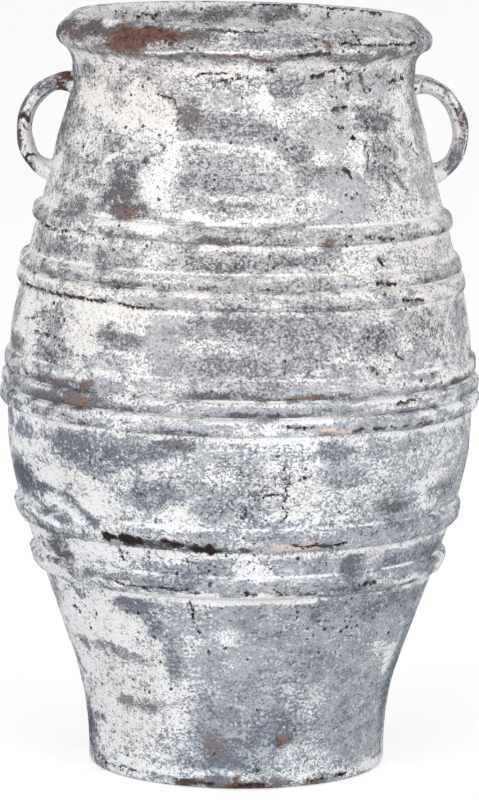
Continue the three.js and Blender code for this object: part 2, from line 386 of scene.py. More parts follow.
THICK |= {
    "cordon white spot": (-26, 562, 5, 7, 0.5),
    "collar white": (-24, 534, 4, 12, 0.25),
    "upper belly left": (-70, 465, 9, 30, 0.3),
    "upper belly middle": (-40, 470, 11, 36, 0.22),
    "under pair right": (60, 491, 18, 6, 0.25),
    "upper belly right light": (60, 465, 8, 26, 0.12),
    "collar right light": (50, 540, 12, 14, 0.1),
    "under pair front": (8, 490, 6, 7, 0.25),
    "belly slate edge": (-45, 430, 4, 8, 0.25),
    "shoulder cordon left light": (-48, 553, 14, 8, 0.3),
    "upper belly right spot": (45, 452, 4, 10, 0.15),
    "shoulder cordon right light": (64, 552, 6, 9, 0.2),
    "cordons right light": (45, 510, 6, 9, 0.2),
    "upper belly white left": (-56, 478, 6, 12, 0.16),
    "upper belly front light": (15, 430, 6, 8, 0.2),
}
print(len(WORN), "worn and", len(THICK), "thick places")

# %% Whitewash on the ridges and the belly
WORN |= {
    "belly left low": (-66, 352, 6, 9, 0.35),
    "belly left blob": (-73, 301, 9, 18, 0.8),
    "belly left blob tail": (-62, 298, 4, 8, 0.3),
    "belly patch one": (-44, 349, 7, 16, 0.74),
    "belly patch two": (-26, 348, 9, 15, 0.45),
    "belly patch three": (-21, 306, 7, 18, 0.45),
    "belly patch brown": (-15, 356, 4, 7, 0.45),
    "belly front": (2, 345, 12, 14, 0.08),
    "belly front low": (-2, 295, 8, 15, 0.16),
    "belly right patch": (24, 352, 5, 10, 0.45),
    "belly right brown": (43, 292, 7, 9, 0.35),
    "belly far right": (63, 300, 8, 14, 0.32),
    "ridge left edge": (-70, 392, 14, 22, 0.18),
    "ridge left": (-48, 392, 20, 10, 0.3),
    "belly low right": (38, 272, 12, 10, 0.2),
    "belly low left": (-60, 271, 20, 6, 0.15),
    "belly patch between": (-36, 338, 7, 26, 0.32),
    "ridge top left": (-50, 410, 12, 5, 0.25),
    "belly front hem": (4, 273, 18, 5, 0.15),
    "ridge blotches": (-45, 396, 14, 14, 0.25),
    "ridge front low": (-5, 408, 8, 6, 0.2),
    "belly right middle": (26, 326, 8, 16, 0.25),
    "ridge front middle": (22, 391, 8, 7, 0.2),
    "belly left edge": (-78, 366, 5, 14, 0.35),
    "belly right high": (36, 350, 6, 9, 0.2),
    "belly left middle": (-44, 330, 6, 9, 0.18),
    "belly middle left": (-34, 308, 5, 10, 0.2),
    "belly right hem": (45, 272, 7, 9, 0.2),
    "belly slant low spot": (-50, 267, 4, 4.5, 0.4),
    "belly slant low spot left": (-64, 268, 3, 6, 0.3),
    "belly left low streak": (-65, 290, 4, 7, 0.12),
}
THICK |= {
    "belly white one": (-42, 312, 7, 14, 0.12),
    "belly white two": (-16, 282, 6, 18, 0.18),
    "belly white left": (-66, 334, 10, 6, 0.3),
    "belly white right": (17, 312, 5, 36, 0.1),
    "belly low left": (-60, 270, 22, 7, 0.03),
    "belly left white": (-54, 316, 7, 16, 0.25),
    "belly right light": (62, 335, 14, 40, 0.1),
    "ridge left light": (-60, 369, 14, 9, 0.42),
    "ridge right light": (60, 411, 22, 6, 0.25),
    "ridge far right light": (66, 388, 8, 10, 0.2),
    "belly front light": (-5, 330, 5, 9, 0.15),
    "ridge left edge light": (-60, 390, 10, 7, 0.2),
    "ridge low right light": (56, 370, 8, 8, 0.2),
    "belly right light low": (57, 292, 6, 10, 0.2),
    "ridge front light": (10, 370, 18, 7, 0.2),
    "ridge far right low light": (76, 368, 6, 9, 0.2),
    "belly right light mid": (56, 310, 8, 9, 0.2),
    "ridge valley right light": (50, 389, 18, 4, 0.24),
    "ridge valley left light": (-60, 390, 14, 4, 0.1),
    "belly low root lime and highlight": (-37, 292, 5, 14, 0.3),
    "belly white between": (-36, 268, 6, 6, 0.12),
    "belly left streak light": (-53, 308, 6, 6, 0.12),
    "ridge valley middle light": (45, 390, 5, 4, 0.1),
    "belly left edge light": (-66, 292, 5, 5, 0.15),
}
print(len(WORN), "worn and", len(THICK), "thick places")

# %% Whitewash on the waist and its beads
WORN |= {
    "waist left": (-57, 236, 7, 18, 0.36),
    "waist right streak": (33, 232, 4, 18, 0.5),
    "waist far right": (68, 228, 12, 14, 0.42),
    "waist front": (-14, 228, 12, 9, 0.25),
    "foot bead right": (22, 213, 10, 5, 0.15),
    "foot bead left": (-48, 219, 38, 4, 0.12),
    "waist middle right": (12, 230, 9, 10, 0.2),
    "waist right edge": (48, 230, 8, 12, 0.2),
}
THICK |= {
    "under waist bead": (-20, 246, 18, 6, 0.25),
    "waist white one": (4, 232, 7, 10, 0.35),
    "waist white two": (16, 229, 4, 5, 0.15),
    "waist left white": (-45, 240, 12, 8, 0.25),
    "waist left light": (-70, 250, 10, 10, 0.35),
    "waist bead right light": (44, 212, 6, 6, 0.2),
    "foot bead left light": (-66, 213, 14, 6, 0.4),
    "foot bead front light": (-34, 210, 6, 6, 0.25),
    "waist far right light": (56, 250, 6, 8, 0.2),
    "waist right edge light": (76, 212, 7, 9, 0.3),
    "lower belly left low light": (-76, 250, 5, 10, 0.28),
}
print(len(WORN), "worn and", len(THICK), "thick places")

# %% Whitewash on the foot
WORN |= {
    "foot left edge top": (-74, 184, 5, 18, 0.3),
    "foot left edge": (-74, 108, 4, 14, 0.3, -2.0),
    "foot left edge low": (-76, 40, 8, 26, 0.65),
    "foot patch high left": (-54.5, 188, 3, 9, 0.55),
    "foot patch high": (-33, 187, 8, 10, 0.75),
    "foot patch high tail": (-26, 168, 3, 12, 0.4),
    "foot row left": (-61, 136, 4, 5, 0.6),
    "foot row middle": (-52, 137, 3, 6, 0.55),
    "foot row right": (-42, 134, 9, 7, 0.5, -0.5),
    "foot streak": (-21, 131, 4, 22, 0.45),
    "foot low patch": (-45, 83, 5, 9, 0.42),
    "foot low patch right": (-34, 78, 5, 14, 0.34),
    "foot low left": (-65, 54, 6, 5, 0.35),
    "foot low skirt": (-28, 32, 12, 12, 0.1),
    "foot front dark": (-8, 74, 8, 22, 0.35),
    "foot front low": (-4, 36, 10, 16, 0.3),
    "foot front high": (6, 172, 9, 18, 0.3),
    "foot right brown": (22, 132, 8, 14, 0.25),
    "foot right low": (22, 60, 7, 20, 0.2),
    "heel": (-2, 5, 24, 4, 0.38),
    "foot far right shade": (74, 90, 7, 60, 0.35),
    "foot right high": (45, 186, 34, 13, 0.3),
    "foot front low right": (10, 60, 12, 26, 0.26),
    "foot right middle": (40, 60, 10, 30, 0.16),
    "foot low hem": (-4, 26, 18, 8, 0.25),
    "foot left speckle": (-45, 40, 16, 14, 0.15),
    "foot middle right": (18, 100, 10, 20, 0.1),
    "heel left": (-60, 12, 14, 7, 0.42),
    "foot left streak low": (-52, 172, 7, 9, 0.2),
    "foot front light patch": (-6, 130, 8, 12, 0.12),
    "foot front shade": (3, 110, 7, 16, 0.2),
    "foot right shade": (36, 110, 8, 14, 0.15),
    "foot back right": (64, 170, 8, 10, 0.1),
    "foot low patch wide": (-38, 81, 13, 9, 0.24),
    "foot row right end": (-34, 130, 5, 6, 0.14),
}
THICK |= {
    "under foot bead": (-6, 201, 26, 4.5, 0.85),
    "under foot bead right": (16, 203, 10, 2.5, 0.3),
    "foot left": (-54, 160, 20, 34, 0.3),
    "foot left low": (-50, 50, 20, 40, 0.22),
    "foot left middle": (-24, 112, 7, 26, 0.14),
    "foot flecks right": (57, 132, 8, 12, 0.16, -1.2),
    "foot flecks middle": (25, 80, 4, 16, 0.1),
    "foot hem": (-45, 11, 26, 2.5, 0.35),
    "under foot bead far right": (60, 206, 24, 4, 0.25),
    "under foot bead left": (-58, 207, 22, 4, 0.25),
    "heel right": (68, 10, 18, 6, 0.34),
    "foot left high": (-58, 108, 12, 12, 0.22),
    "foot front left light": (-15, 148, 5, 12, 0.1),
    "foot right rim light": (66, 120, 6, 22, 0.2),
    "heel spot right": (26, 9, 5, 5, 0.3),
    "foot high right light": (35, 190, 6, 9, 0.18),
    "foot left low light": (-40, 90, 9, 9, 0.25),
    "foot middle light": (-24, 128, 5, 12, 0.15),
    "foot front light": (10, 176, 8, 12, 0.18),
    "foot left outer light": (-64, 108, 5, 12, 0.2),
    "foot left inner light": (-45, 110, 5, 9, 0.2),
    "foot front middle light": (-6, 70, 6, 24, 0.14),
    "foot flecked light": (-3, 160, 6, 10, 0.2),
    "foot middle pale": (20, 150, 5, 12, 0.03),
    "foot front lime": (-2, 128, 5, 10, 0.14),
    "foot low strip white": (-22, 70, 4, 22, 0.08),
}
print(len(WORN), "worn and", len(THICK), "thick places")

# %% Strokes of the brush, and one painted highlight
STROKES = {
    "shoulder swirl": (2.6, 0.2, [(-20, 645), (-14, 648), (-4, 647), (2, 644), (8, 638)]),
    "shoulder swirl turn": (5.0, 0.1, [(8, 638), (12, 629), (15, 620), (14, 607), (11, 601)]),
    "shoulder inner stroke": (3.5, 0.12, [(-8, 592), (0, 595), (6, 595), (11, 590)]),
    "shoulder low stroke": (2.4, 0.25, [(-16, 575), (-6, 573), (2, 574), (8, 577)]),
    "shoulder arch": (4.0, 0.12, [(14, 585), (18, 593), (22, 597), (27, 590)]),
    "lime splash": (3.4, 0.9, [(6.5, 697), (7.4, 691), (6.6, 685)]),
    # A pale line on the rim's lower edge: painted highlight.
    "rim edge painted highlight": (1.4, 0.6, [(-30, 734), (-20, 735), (-8, 736), (0, 736)]),
    "neck edge white": (4.0, 0.3, [(14, 724), (22, 726), (28, 724)]),
    "wedge edge": (2.5, 0.45, [(-46, 622), (-42, 630), (-38, 634)]),
    "brushed top": (3.5, -0.18, [(38, 679), (47, 678)]),
    "brushed upper": (4.0, -0.24, [(40, 670), (49, 668), (52, 661)]),
    "brushed middle": (3.5, -0.22, [(38, 660), (44, 661), (51, 656)]),
    "brushed far": (1.6, -0.25, [(49, 673), (56, 668), (61, 663)]),
    "brushed stem": (1.4, -0.3, [(41, 648), (39.5, 637), (41, 622)]),
    "brushed low": (4.0, -0.2, [(43, 622), (49, 612), (55, 600)]),
    "brushed low branch": (2.5, -0.22, [(46, 608), (48, 598)]),
    "brushed low twig": (1.6, -0.25, [(53, 608), (57, 594)]),
    "lime splash arm": (2.2, 0.9, [(4.6, 690), (7.0, 692), (9.8, 690)]),
    "lime splash feet": (1.8, 0.9, [(5.0, 679), (6.6, 685), (9.4, 680)]),
    "shoulder sweep band": (
        10.0,
        -0.18,
        [(-20, 672), (-13, 670), (-5, 667), (4, 662), (11, 651), (17, 635), (23, 616)],
    ),
    "belly slant high": (
        4.5,
        -0.34,
        [(-61, 298), (-55, 299), (-50, 297), (-45, 289), (-42, 279), (-38, 269)],
    ),
    "belly slant low": (3.2, -0.24, [(-66, 286), (-61, 278), (-57, 274)]),
    "belly slant white": (3.2, 0.4, [(-58, 288), (-53, 286), (-49, 279), (-44, 271)]),
    "belly slant white low": (3.0, 0.35, [(-66, 272), (-60, 266), (-52, 263)]),
}
print(len(STROKES), "strokes")

# %% Distance to a drawn line
SLIMMEST_GIRTH = 20.0


def line_distance(points, angle, height, girth, reach):
    """Distance in millimetres to the nearest point of a line, along the girth and up the wall: the least of
    |p - (a + t (b - a))| over its pieces, with t held in 0..1. It is never more than the reach."""
    nearest = np.full(angle.shape, float(reach))
    girth = np.maximum(girth, SLIMMEST_GIRTH)
    for (start_angle, start_height), (end_angle, end_height) in zip(points[:-1], points[1:]):
        turn = (angle - start_angle + HALF_TURN) % FULL_TURN - HALF_TURN
        wide = np.degrees(reach / girth) + abs(end_angle - start_angle)
        tall = reach + abs(end_height - start_height)
        close = (np.abs(turn) < wide) & (np.abs(height - start_height) < tall)
        scale = np.radians(girth[close])
        x, y = turn[close] * scale, height[close] - start_height
        dx, dy = (end_angle - start_angle) * scale, end_height - start_height
        t = np.clip((x * dx + y * dy) / (dx * dx + dy * dy), 0, 1)
        nearest[close] = np.minimum(nearest[close], np.hypot(x - t * dx, y - t * dy))
    return nearest


around_girth = wall_radius(upwards * MM) / MM
line_trial = line_distance([(-10, 300), (10, 300)], around, upwards, around_girth, 20.0)
print((line_trial < 20).sum(), "of the sample points lie within 20 mm of a level line")

# %% Paint along the strokes
STROKE_REACH = 1.6


def stroked(lines, angle, height):
    """Sum of every stroke's strength times exp(-(d / half width)^4), with d the distance to its line."""
    across = angle + RAGGED_DEGREES / 2 * ragged_across(angle, height)
    up = height + RAGGED_HEIGHT / 2 * ragged_up(angle, height)
    girth = wall_radius(height * MM) / MM
    paint = np.zeros(angle.shape)
    for half_width, strength, points in lines.values():
        reach = STROKE_REACH * half_width
        away = line_distance(points, across, up, girth, reach)
        paint = paint + strength * np.exp(-((away / half_width) ** 4)) * (away < reach)
    return paint


print(f"strokes touch {(stroked(STROKES, around, upwards) != 0).mean():.1%} of the jar")

# %% Stains in the ground coat
STAINED = {
    "rim left end": (-78, 748, 14, 16, 0.7),
    "rim left face": (-54, 750, 16, 10, 0.5),
    "rim brown": (-33, 747, 8, 10, 0.5),
    "rim front": (-16, 753, 12, 6, 0.4),
    "shoulder wedge": (-37, 602, 6.5, 27, 0.3),
    "shoulder wedge foot": (-32, 578, 8, 8, 0.25),
    "shoulder front": (-4, 662, 18, 14, 0.08),
    "shoulder right": (48, 667, 9, 17, 0.2),
    "shoulder right low": (49, 624, 8, 24, 0.15),
    "collar": (-5, 534, 20, 10, 0.25),
    "upper belly patch": (-54, 470, 8, 16, 0.35),
    "upper belly right": (35, 455, 6, 17, 0.35),
    "upper belly far right": (57, 466, 6, 17, 0.3),
    "upper belly right low": (60, 410, 11, 9, 0.3),
    "upper belly slate": (-51, 431, 11, 12, 0.25),
    "belly left blob": (-69, 307, 10, 16, 0.45),
    "belly far right": (63, 300, 8, 14, 0.5),
    "belly right brown": (43, 292, 7, 9, 0.3),
    "waist left": (-57, 232, 7, 20, 0.4),
    "foot left edge": (-78, 40, 9, 32, 0.4),
    "foot right edge": (78, 105, 6, 100, 0.3),
    "left edge upper": (-84, 620, 9, 140, 0.2),
    # Painted shadow under the shoulder cordon's left end, laid as stain.
    "cordon underside shade left": (-52, 551, 12, 4, 0.4),
}
print(len(STAINED), "stains")

# %% Smooth thin film
FILMED = {
    "shoulder right strip": (28.5, 668, 8, 46, 1.0),
    "shoulder right top": (24, 700, 5, 14, 0.5),
    "neck right": (48, 703, 14, 17, 0.95),
    "shoulder right middle": (57, 655, 7, 30, 0.55),
    "shoulder far right": (67, 628, 11, 62, 0.75),
    "shoulder front": (-5, 688, 7, 9, 0.75),
    "shoulder swirl end": (14, 615, 4, 12, 0.5),
    "shoulder middle": (-27, 600, 5, 28, 0.5),
    "shoulder low right": (35, 585, 10, 18, 0.5),
    "collar right": (44, 540, 8, 14, 0.65),
    "collar far right": (66, 535, 12, 18, 0.45),
    "collar left": (-24, 540, 5, 12, 0.6),
    "upper belly stripe": (-19, 458, 5.2, 42, 1.0),
    "upper belly right": (46, 450, 7, 50, 0.7),
    "upper belly far right": (65, 455, 11, 50, 0.5),
    "upper belly low right": (28, 424, 10, 11, 0.5),
    "ridges front": (8, 390, 24, 26, 0.45),
    "ridges right": (52, 390, 22, 30, 0.6),
    "belly right": (50, 330, 13, 60, 0.5),
    "belly far right": (68, 330, 13, 62, 0.8),
    "belly low right": (40, 268, 14, 14, 0.5),
    "waist right": (24, 232, 8, 15, 0.6),
    "waist far right": (58, 232, 20, 20, 0.8),
    "waist front": (-6, 234, 10, 14, 0.5),
    "foot front": (0, 150, 21, 56, 0.85),
    "foot right high": (30, 160, 14, 44, 0.8),
    "foot right": (56, 100, 26, 104, 0.92),
    "foot low front": (4, 60, 18, 42, 0.7),
    "foot middle edge": (-20, 175, 5, 26, 0.5),
    "rim left": (-60, 750, 22, 12, 0.5),
    "wedge": (-36, 600, 6, 24, 0.4),
    "waist middle": (8, 234, 26, 12, 0.5),
    "shoulder right strip low": (31.5, 600, 8, 40, 1.0),
    "belly stripe": (-9, 315, 4.5, 52, 0.65),
}
print(len(FILMED), "films")

# %% Bare clay and pink blushes
BARE = {
    "rim patch": (-36, 745, 8, 12, 1.3),
    "rim patch tail": (-27, 753, 10, 6, 1.0),
    "rim strip left": (-46, 739, 7, 2.5, 0.6),
    "rim strip front": (1, 731, 11, 2, 0.75),
    "rim chip right": (26, 745, 2, 5, 0.8),
    "shoulder speck": (-31, 630, 1.3, 5, 0.8),
    "shoulder brown": (-17, 672, 4, 14, 0.28),
    "shoulder wedge foot": (-33, 578, 7, 7, 0.5),
    "shoulder cordon blotch": (23, 550, 3, 5, 0.6),
    "collar brown": (-10, 525, 6, 5, 0.35),
    "ridge chip": (-39, 408, 3, 6, 0.6),
    "ridge left": (-54, 408, 7, 5, 0.2),
    "ridge front": (8, 406, 7, 3, 0.4),
    "ridge front right": (16, 406, 4.5, 4, 0.5),
    "ridge middle left": (-42, 391, 7, 5, 0.25),
    "ridge low left": (-52, 377, 9, 4, 0.3),
    "belly brown": (-15, 356, 3.5, 6, 0.4),
    "belly right brown": (43, 292, 5, 6, 0.3),
    "waist patch": (-57, 236, 5, 16, 0.28),
    "waist right": (32, 232, 3, 12, 0.22),
    "waist speck": (51, 222, 4, 8, 0.25),
    "foot brown": (-8, 44, 5, 15, 0.45),
    "foot brown right": (18, 50, 3.2, 9, 0.75),
    "foot spot": (24, 176, 1.4, 3.5, 0.4),
    "foot streak": (-21, 131, 3, 18, 0.25),
    "heel left": (-19, 6, 5, 3, 0.8),
    "heel front": (3, 6, 6, 4, 0.9),
    "heel right": (32, 6, 5, 3, 0.6),
    "waist bead left": (-35, 217, 25, 5, 0.25),
    "ridge top left": (-51, 408, 7, 4, 0.2),
    "ridge middle blotch": (-42, 395, 4.5, 5, 0.3),
    "ridge middle blotch left": (-54, 395, 4.5, 5, 0.3),
    "heel": (8, 5, 34, 4, 0.4),
    # Painted shadow under the shoulder cordon's left end, laid as bare clay.
    "cordon underside shade left": (-46, 551, 8, 4, 0.35),
    "rim": (0, 745, 100, 16, 0.16),
    "rim left end": (-74, 748, 16, 14, 0.2),
    "shoulder wedge": (-37, 604, 6, 22, 0.08),
    "upper belly rust": (-34, 461, 2.2, 5, 0.35),
}
BLUSH = {
    "ridge low": (22.5, 374, 5.5, 4.5, 1.0),
    "waist bead": (14, 258, 7, 4, 1.0),
    "foot bead": (9, 209, 3.5, 3, 0.9),
    "shoulder cordon": (32, 558, 2, 3, 0.6),
    "neck left": (-42, 700, 22, 36, 0.2),
    "foot left": (-45, 100, 18, 70, 0.12),
}
print(len(BARE), "bare places and", len(BLUSH), "blushes")

# %% Worn places inside the rim
LINING_WORN = {
    "smudge": (178, 748, 22, 10, 0.5),
    "smudge core": (165, 747, 12, 8, 0.4),
    "smudge left": (-164, 749, 14, 9, 0.35),
    "streaks left": (-150, 746, 15, 7, 0.4),
    "speckle left": (-128, 752, 8, 8, 0.2),
    "near smudge": (24, 744, 22, 12, 0.4),
    "near streak": (-48, 741, 26, 8, 0.35),
    "near edge": (70, 752, 14, 6, 0.3),
    "near low": (-8, 728, 30, 9, 0.3),
}
print(len(LINING_WORN), "worn places inside the rim")

# %% Pits, crazing and flecks
PITTED = {
    "neck left": (-50, 700, 24, 22, 0.3),
    "neck front": (-14, 712, 22, 8, 0.25),
    "neck right": (48, 704, 24, 16, 0.25),
    "shoulder left": (-40, 670, 16, 26, 0.12),
    "collar left": (-40, 545, 30, 8, 0.15),
    "belly right": (50, 440, 20, 40, 0.1),
    "waist": (-10, 235, 40, 14, 0.3),
    "foot left": (-40, 175, 26, 24, 0.2),
    "foot right": (30, 175, 18, 20, 0.5),
    "foot right low": (40, 120, 24, 40, 0.12),
}
CRAZED = {
    "belly front": (0, 316, 18, 34, 0.4),
    "belly left": (-34, 320, 14, 30, 0.3),
    "shoulder front": (-4, 640, 22, 50, 0.25),
    "shoulder right": (50, 640, 12, 44, 0.35),
    "shoulder edge": (68, 645, 10, 40, 0.12),
    "neck front": (-8, 708, 22, 10, 0.4),
    "neck right": (46, 706, 24, 12, 0.4),
    "collar": (30, 535, 30, 14, 0.3),
    "upper belly right": (50, 455, 18, 34, 0.4),
    "upper belly front": (10, 450, 16, 34, 0.2),
    "waist": (-10, 245, 40, 14, 0.3),
    "foot left": (-30, 180, 16, 24, 0.2),
    "neck left": (-52, 706, 24, 20, 0.15),
    "shoulder left": (-52, 640, 20, 50, 0.15),
    "shoulder white": (-34, 660, 12, 30, 0.1),
    "upper belly left": (-50, 455, 22, 36, 0.2),
    "foot left low": (-44, 90, 22, 60, 0.15),
}
FLECKED = {
    "belly left": (-38, 330, 22, 44, 0.75),
    "belly front": (10, 320, 20, 44, 0.2),
    "belly right": (58, 300, 20, 50, 0.4),
    "upper belly left": (-52, 455, 16, 36, 0.4),
    "waist": (20, 235, 30, 14, 0.15),
    "foot right": (46, 120, 22, 60, 0.45),
    "foot front": (4, 110, 16, 50, 0.4),
    "shoulder right": (48, 645, 14, 50, 0.15),
    "foot right patch": (57, 130, 8, 13, 0.55, -1.2),
    "upper belly right": (50, 450, 20, 36, 0.25),
}
print(len(PITTED), "pitted places,", len(CRAZED), "crazed ones and", len(FLECKED), "flecked ones")

# %% [markdown]
# ## Cracks and chips
# The coats crack along corners and flake off in chips. A crack is a line of points drawn on the jar, and
# a chip is a short thick one. The map holds how near each point is to a line, because a distance can be
# cut as sharp as wanted later, and the same number presses the chip into the clay.

# %% Cracks and chips on the rim, the neck and the shoulder
CRACKS = {
    "shoulder chain": (0.5, [(-29, 692), (-23, 688), (-21.5, 676), (-20.6, 658)]),
    "neck line": (0.5, [(-14, 714), (-6, 716), (2, 712)]),
    "neck line low": (0.4, [(-9, 708), (0, 711)]),
    "rim crack": (0.7, [(-17, 742), (-12, 736)]),
    "rim split": (0.8, [(37.5, 754), (38, 743)]),
    # Dark lines along the rim's lower edge: painted shadow under the rim, drawn as cracks that also press a
    # groove.
    "rim edge shadow line": (1.3, [(15, 733), (20, 735), (27, 735.5)]),
    "rim edge shadow line far": (0.6, [(30, 743), (42, 741), (56, 739), (66, 738)]),
    "rim end crack": (0.8, [(66, 752), (72, 742)]),
    "neck chip one": (1.6, [(23, 711), (27, 714)]),
    "neck chip two": (1.0, [(29, 714), (31, 715)]),
    "neck chip three": (0.7, [(33, 719), (37, 712), (39, 714)]),
    "neck chip four": (1.8, [(42, 712), (43, 707)]),
    "neck chip five": (0.6, [(43, 706), (45, 692)]),
    "neck chip six": (1.0, [(56, 700), (61, 703)]),
    "neck chip seven": (2.0, [(65, 704), (67, 702)]),
    "neck chip eight": (0.8, [(38, 704), (36, 700)]),
    "shoulder dash": (1.0, [(30, 676), (33, 680), (36, 680)]),
    "shoulder dot": (1.0, [(32, 661), (33, 660)]),
    "shoulder dot low": (1.2, [(36, 650), (38, 651)]),
    "shoulder chip": (1.3, [(32, 620), (35, 612)]),
    "shoulder vertical": (0.5, [(41, 645), (42, 632), (44, 622)]),
    "shoulder fine": (0.4, [(62, 640), (67, 628)]),
    "front brown chip": (1.3, [(8, 718), (10, 717)]),
    "lip line": (0.35, [(-11, 757), (-1, 756.5), (8, 756)]),
}
print(len(CRACKS), "cracks and chips")

# %% Cracks and chips on the cordons and the belly
CRACKS |= {
    # A dark crease under the shoulder cordon's left end: painted shadow drawn as a crack, which also presses
    # a groove.
    "cordon shadow crack left": (0.8, [(-76, 552), (-66, 551), (-56, 552)]),
    "cordon chip": (1.0, [(39, 555), (42, 553)]),
    "cordon chip far": (0.9, [(43, 553), (45, 552)]),
    "cordon chip right": (0.8, [(29, 558), (31, 556)]),
    "pair crack left": (1.0, [(-72, 494), (-66, 493), (-59, 494)]),
    "pair crack": (1.3, [(-57, 491), (-50, 492), (-46, 492), (-42, 491), (-36, 492)]),
    "pair crack middle": (0.8, [(-33, 491), (-27, 489), (-20, 489)]),
    "pair crack right": (0.9, [(45, 493), (53, 490)]),
    "pair top right": (1.5, [(37, 511), (43, 510)]),
    "belly scratch": (0.5, [(-70, 460), (-66, 463), (-62, 466)]),
    "belly specks": (0.6, [(-62, 452), (-54, 450), (-49, 447)]),
    "belly chip l": (1.0, [(41.5, 443), (42.5, 437), (44, 438)]),
    "belly chip high": (0.7, [(46, 467), (48, 462)]),
    "belly vertical": (0.6, [(52, 474), (51.5, 460)]),
    "belly slant chip": (0.8, [(33.5, 432), (35.5, 424)]),
    "ridge crack": (0.5, [(11, 378), (14, 376), (17, 378)]),
    "belly long crack": (0.35, [(11, 338), (10.6, 330), (12.4, 321), (11.2, 316), (12.4, 308), (9.5, 309)]),
    "belly cross crack": (0.4, [(3, 305), (6.5, 309), (9.5, 309)]),
    "belly dash": (0.9, [(15.5, 327), (18, 329)]),
    "belly long crack low": (0.4, [(11.6, 308), (11, 296), (12.4, 290), (11, 281)]),
    "belly hook": (0.45, [(1, 300), (2.2, 296), (1.6, 289), (0, 287)]),
    "cordon chip near": (0.9, [(35, 557), (37, 555)]),
    "collar chip": (1.6, [(39.5, 533), (41, 529)]),
    "ridge chips right": (0.8, [(40, 394), (41.3, 396.5), (42.6, 393.5), (44, 396.5), (45.6, 395.5)]),
    "ridge row one": (1.0, [(27.5, 371), (30, 372)]),
    "ridge row two": (1.2, [(33, 371), (36, 371)]),
    "ridge row three": (0.9, [(38, 372), (39, 370)]),
    "ridge row four": (0.9, [(42, 372), (44, 371)]),
    "ridge row five": (0.8, [(47, 372), (49, 373)]),
}
print(len(CRACKS), "cracks and chips")

# %% Cracks and chips on the waist and the foot
CRACKS |= {
    "waist chip one": (3.7, [(-36, 260), (-31, 259), (-26, 258)]),
    "waist chip two": (1.2, [(-24, 258), (-21.5, 257)]),
    "waist chip three": (3.6, [(-19, 260), (-16, 258), (-14, 257)]),
    "waist chip four": (3.8, [(-12, 254), (-9, 253), (-5, 252)]),
    "waist dots": (0.8, [(1, 254), (4, 253)]),
    "waist crack right": (1.1, [(14, 259), (17, 256), (20, 258), (24, 256), (28, 258)]),
    "waist vertical chip": (2.0, [(-33, 247), (-32.4, 236)]),
    "foot bead line": (0.5, [(-35, 211), (-28, 210), (-18, 211), (-10, 208)]),
    "foot bead chip": (1.5, [(2.5, 210), (5, 207)]),
    "foot bead chip right": (1.4, [(37, 212), (40.5, 212)]),
    "foot bead crack": (0.6, [(10, 212), (12, 207)]),
    "foot crack": (0.35, [(-13.5, 199), (-13.2, 186), (-13.6, 172), (-11, 163)]),
    "foot mark": (0.6, [(-9.5, 145), (-8.5, 139)]),
    "foot dark spot": (1.3, [(-60, 174), (-58, 168)]),
    "hem crack left": (0.8, [(-68, 10), (-60, 10)]),
    "hem crack": (0.7, [(-56, 8), (-48, 11), (-42, 10)]),
    "hem crack front": (1.0, [(-24, 7), (-18, 6), (-8, 4)]),
    "hem chip front": (1.4, [(1, 5), (10, 4)]),
    "hem chip right": (1.0, [(29, 6), (36, 5)]),
    "hem chip far": (0.7, [(42, 6), (48, 6)]),
}
print(len(CRACKS), "cracks and chips")

# %% Cracks inside the rim
LINING_CRACKS = {
    "edge crack": (0.9, [(176, 757), (168, 758), (160, 757)]),
    "edge crack right": (1.1, [(155, 758), (147, 757), (138, 758), (128, 757), (118, 756)]),
    "edge twig": (0.6, [(147, 757), (146, 748)]),
    "scribble": (0.8, [(-146, 752), (-144, 746), (-139, 750), (-136, 745)]),
    "scribble left": (0.7, [(-130, 754), (-128, 748)]),
}
print(len(LINING_CRACKS), "cracks inside the rim")

# %% How near a crack is
CHIP_SPREAD = 7.0
CRACK_STRAY = 0.6
CRACK_STRAY_UP = 2.0
CHIP_FLAKE = 0.9
FLAKE_FINENESS = 4
STRAY_FINENESS = 3


def nearness(lines, angle, height, girth):
    """The most over all lines of 1 + (thickness - distance) / CHIP_SPREAD, so 1 at the edge of the line.
    The flaky cloud makes the line thicker in one place and thinner in another."""
    near = np.zeros(angle.shape)
    flaky = 1 + CHIP_FLAKE * ragged_across(angle * FLAKE_FINENESS, height * FLAKE_FINENESS)
    angle = angle + CRACK_STRAY * ragged_across(angle * STRAY_FINENESS, height * STRAY_FINENESS)
    height = height + CRACK_STRAY_UP * ragged_up(angle * STRAY_FINENESS, height * STRAY_FINENESS)
    for thickness, points in lines.values():
        away = line_distance(points, angle, height, girth, CHIP_SPREAD + 2 * thickness)
        near = np.maximum(near, 1 + (thickness * flaky - away) / CHIP_SPREAD)
    return near


print(f"a crack is near on {(nearness(CRACKS, around, upwards, around_girth) > 0).mean():.1%} of the jar")

# %% [markdown]
# ## Laying every coat on a skin
# All skins share one set of maps, because paint doesn't stop at a joint. For any point of the jar, given by
# its angle and height, the maps say how much whitewash is left, how slaty or brown the ground is, how
# stained, how bare. They are stored on the mesh as attributes, which follow the surface.

# %% The unseen back wears the same way
UNSEEN_SEED = 5
UNSEEN_RANGES = {
    "angle": (88.0, 272.0),
    "height": (20, 740),
    "half width": (4, 13),
    "half height": (7, 28),
    "climb": (-0.8, 0.8),
    "strength": (0.4, 1.0),
}
UNSEEN_PLACES = [(WORN, 60, 0.5), (THICK, 60, 0.3), (STAINED, 20, 0.5), (FILMED, 20, 0.6), (BARE, 15, 0.7)]


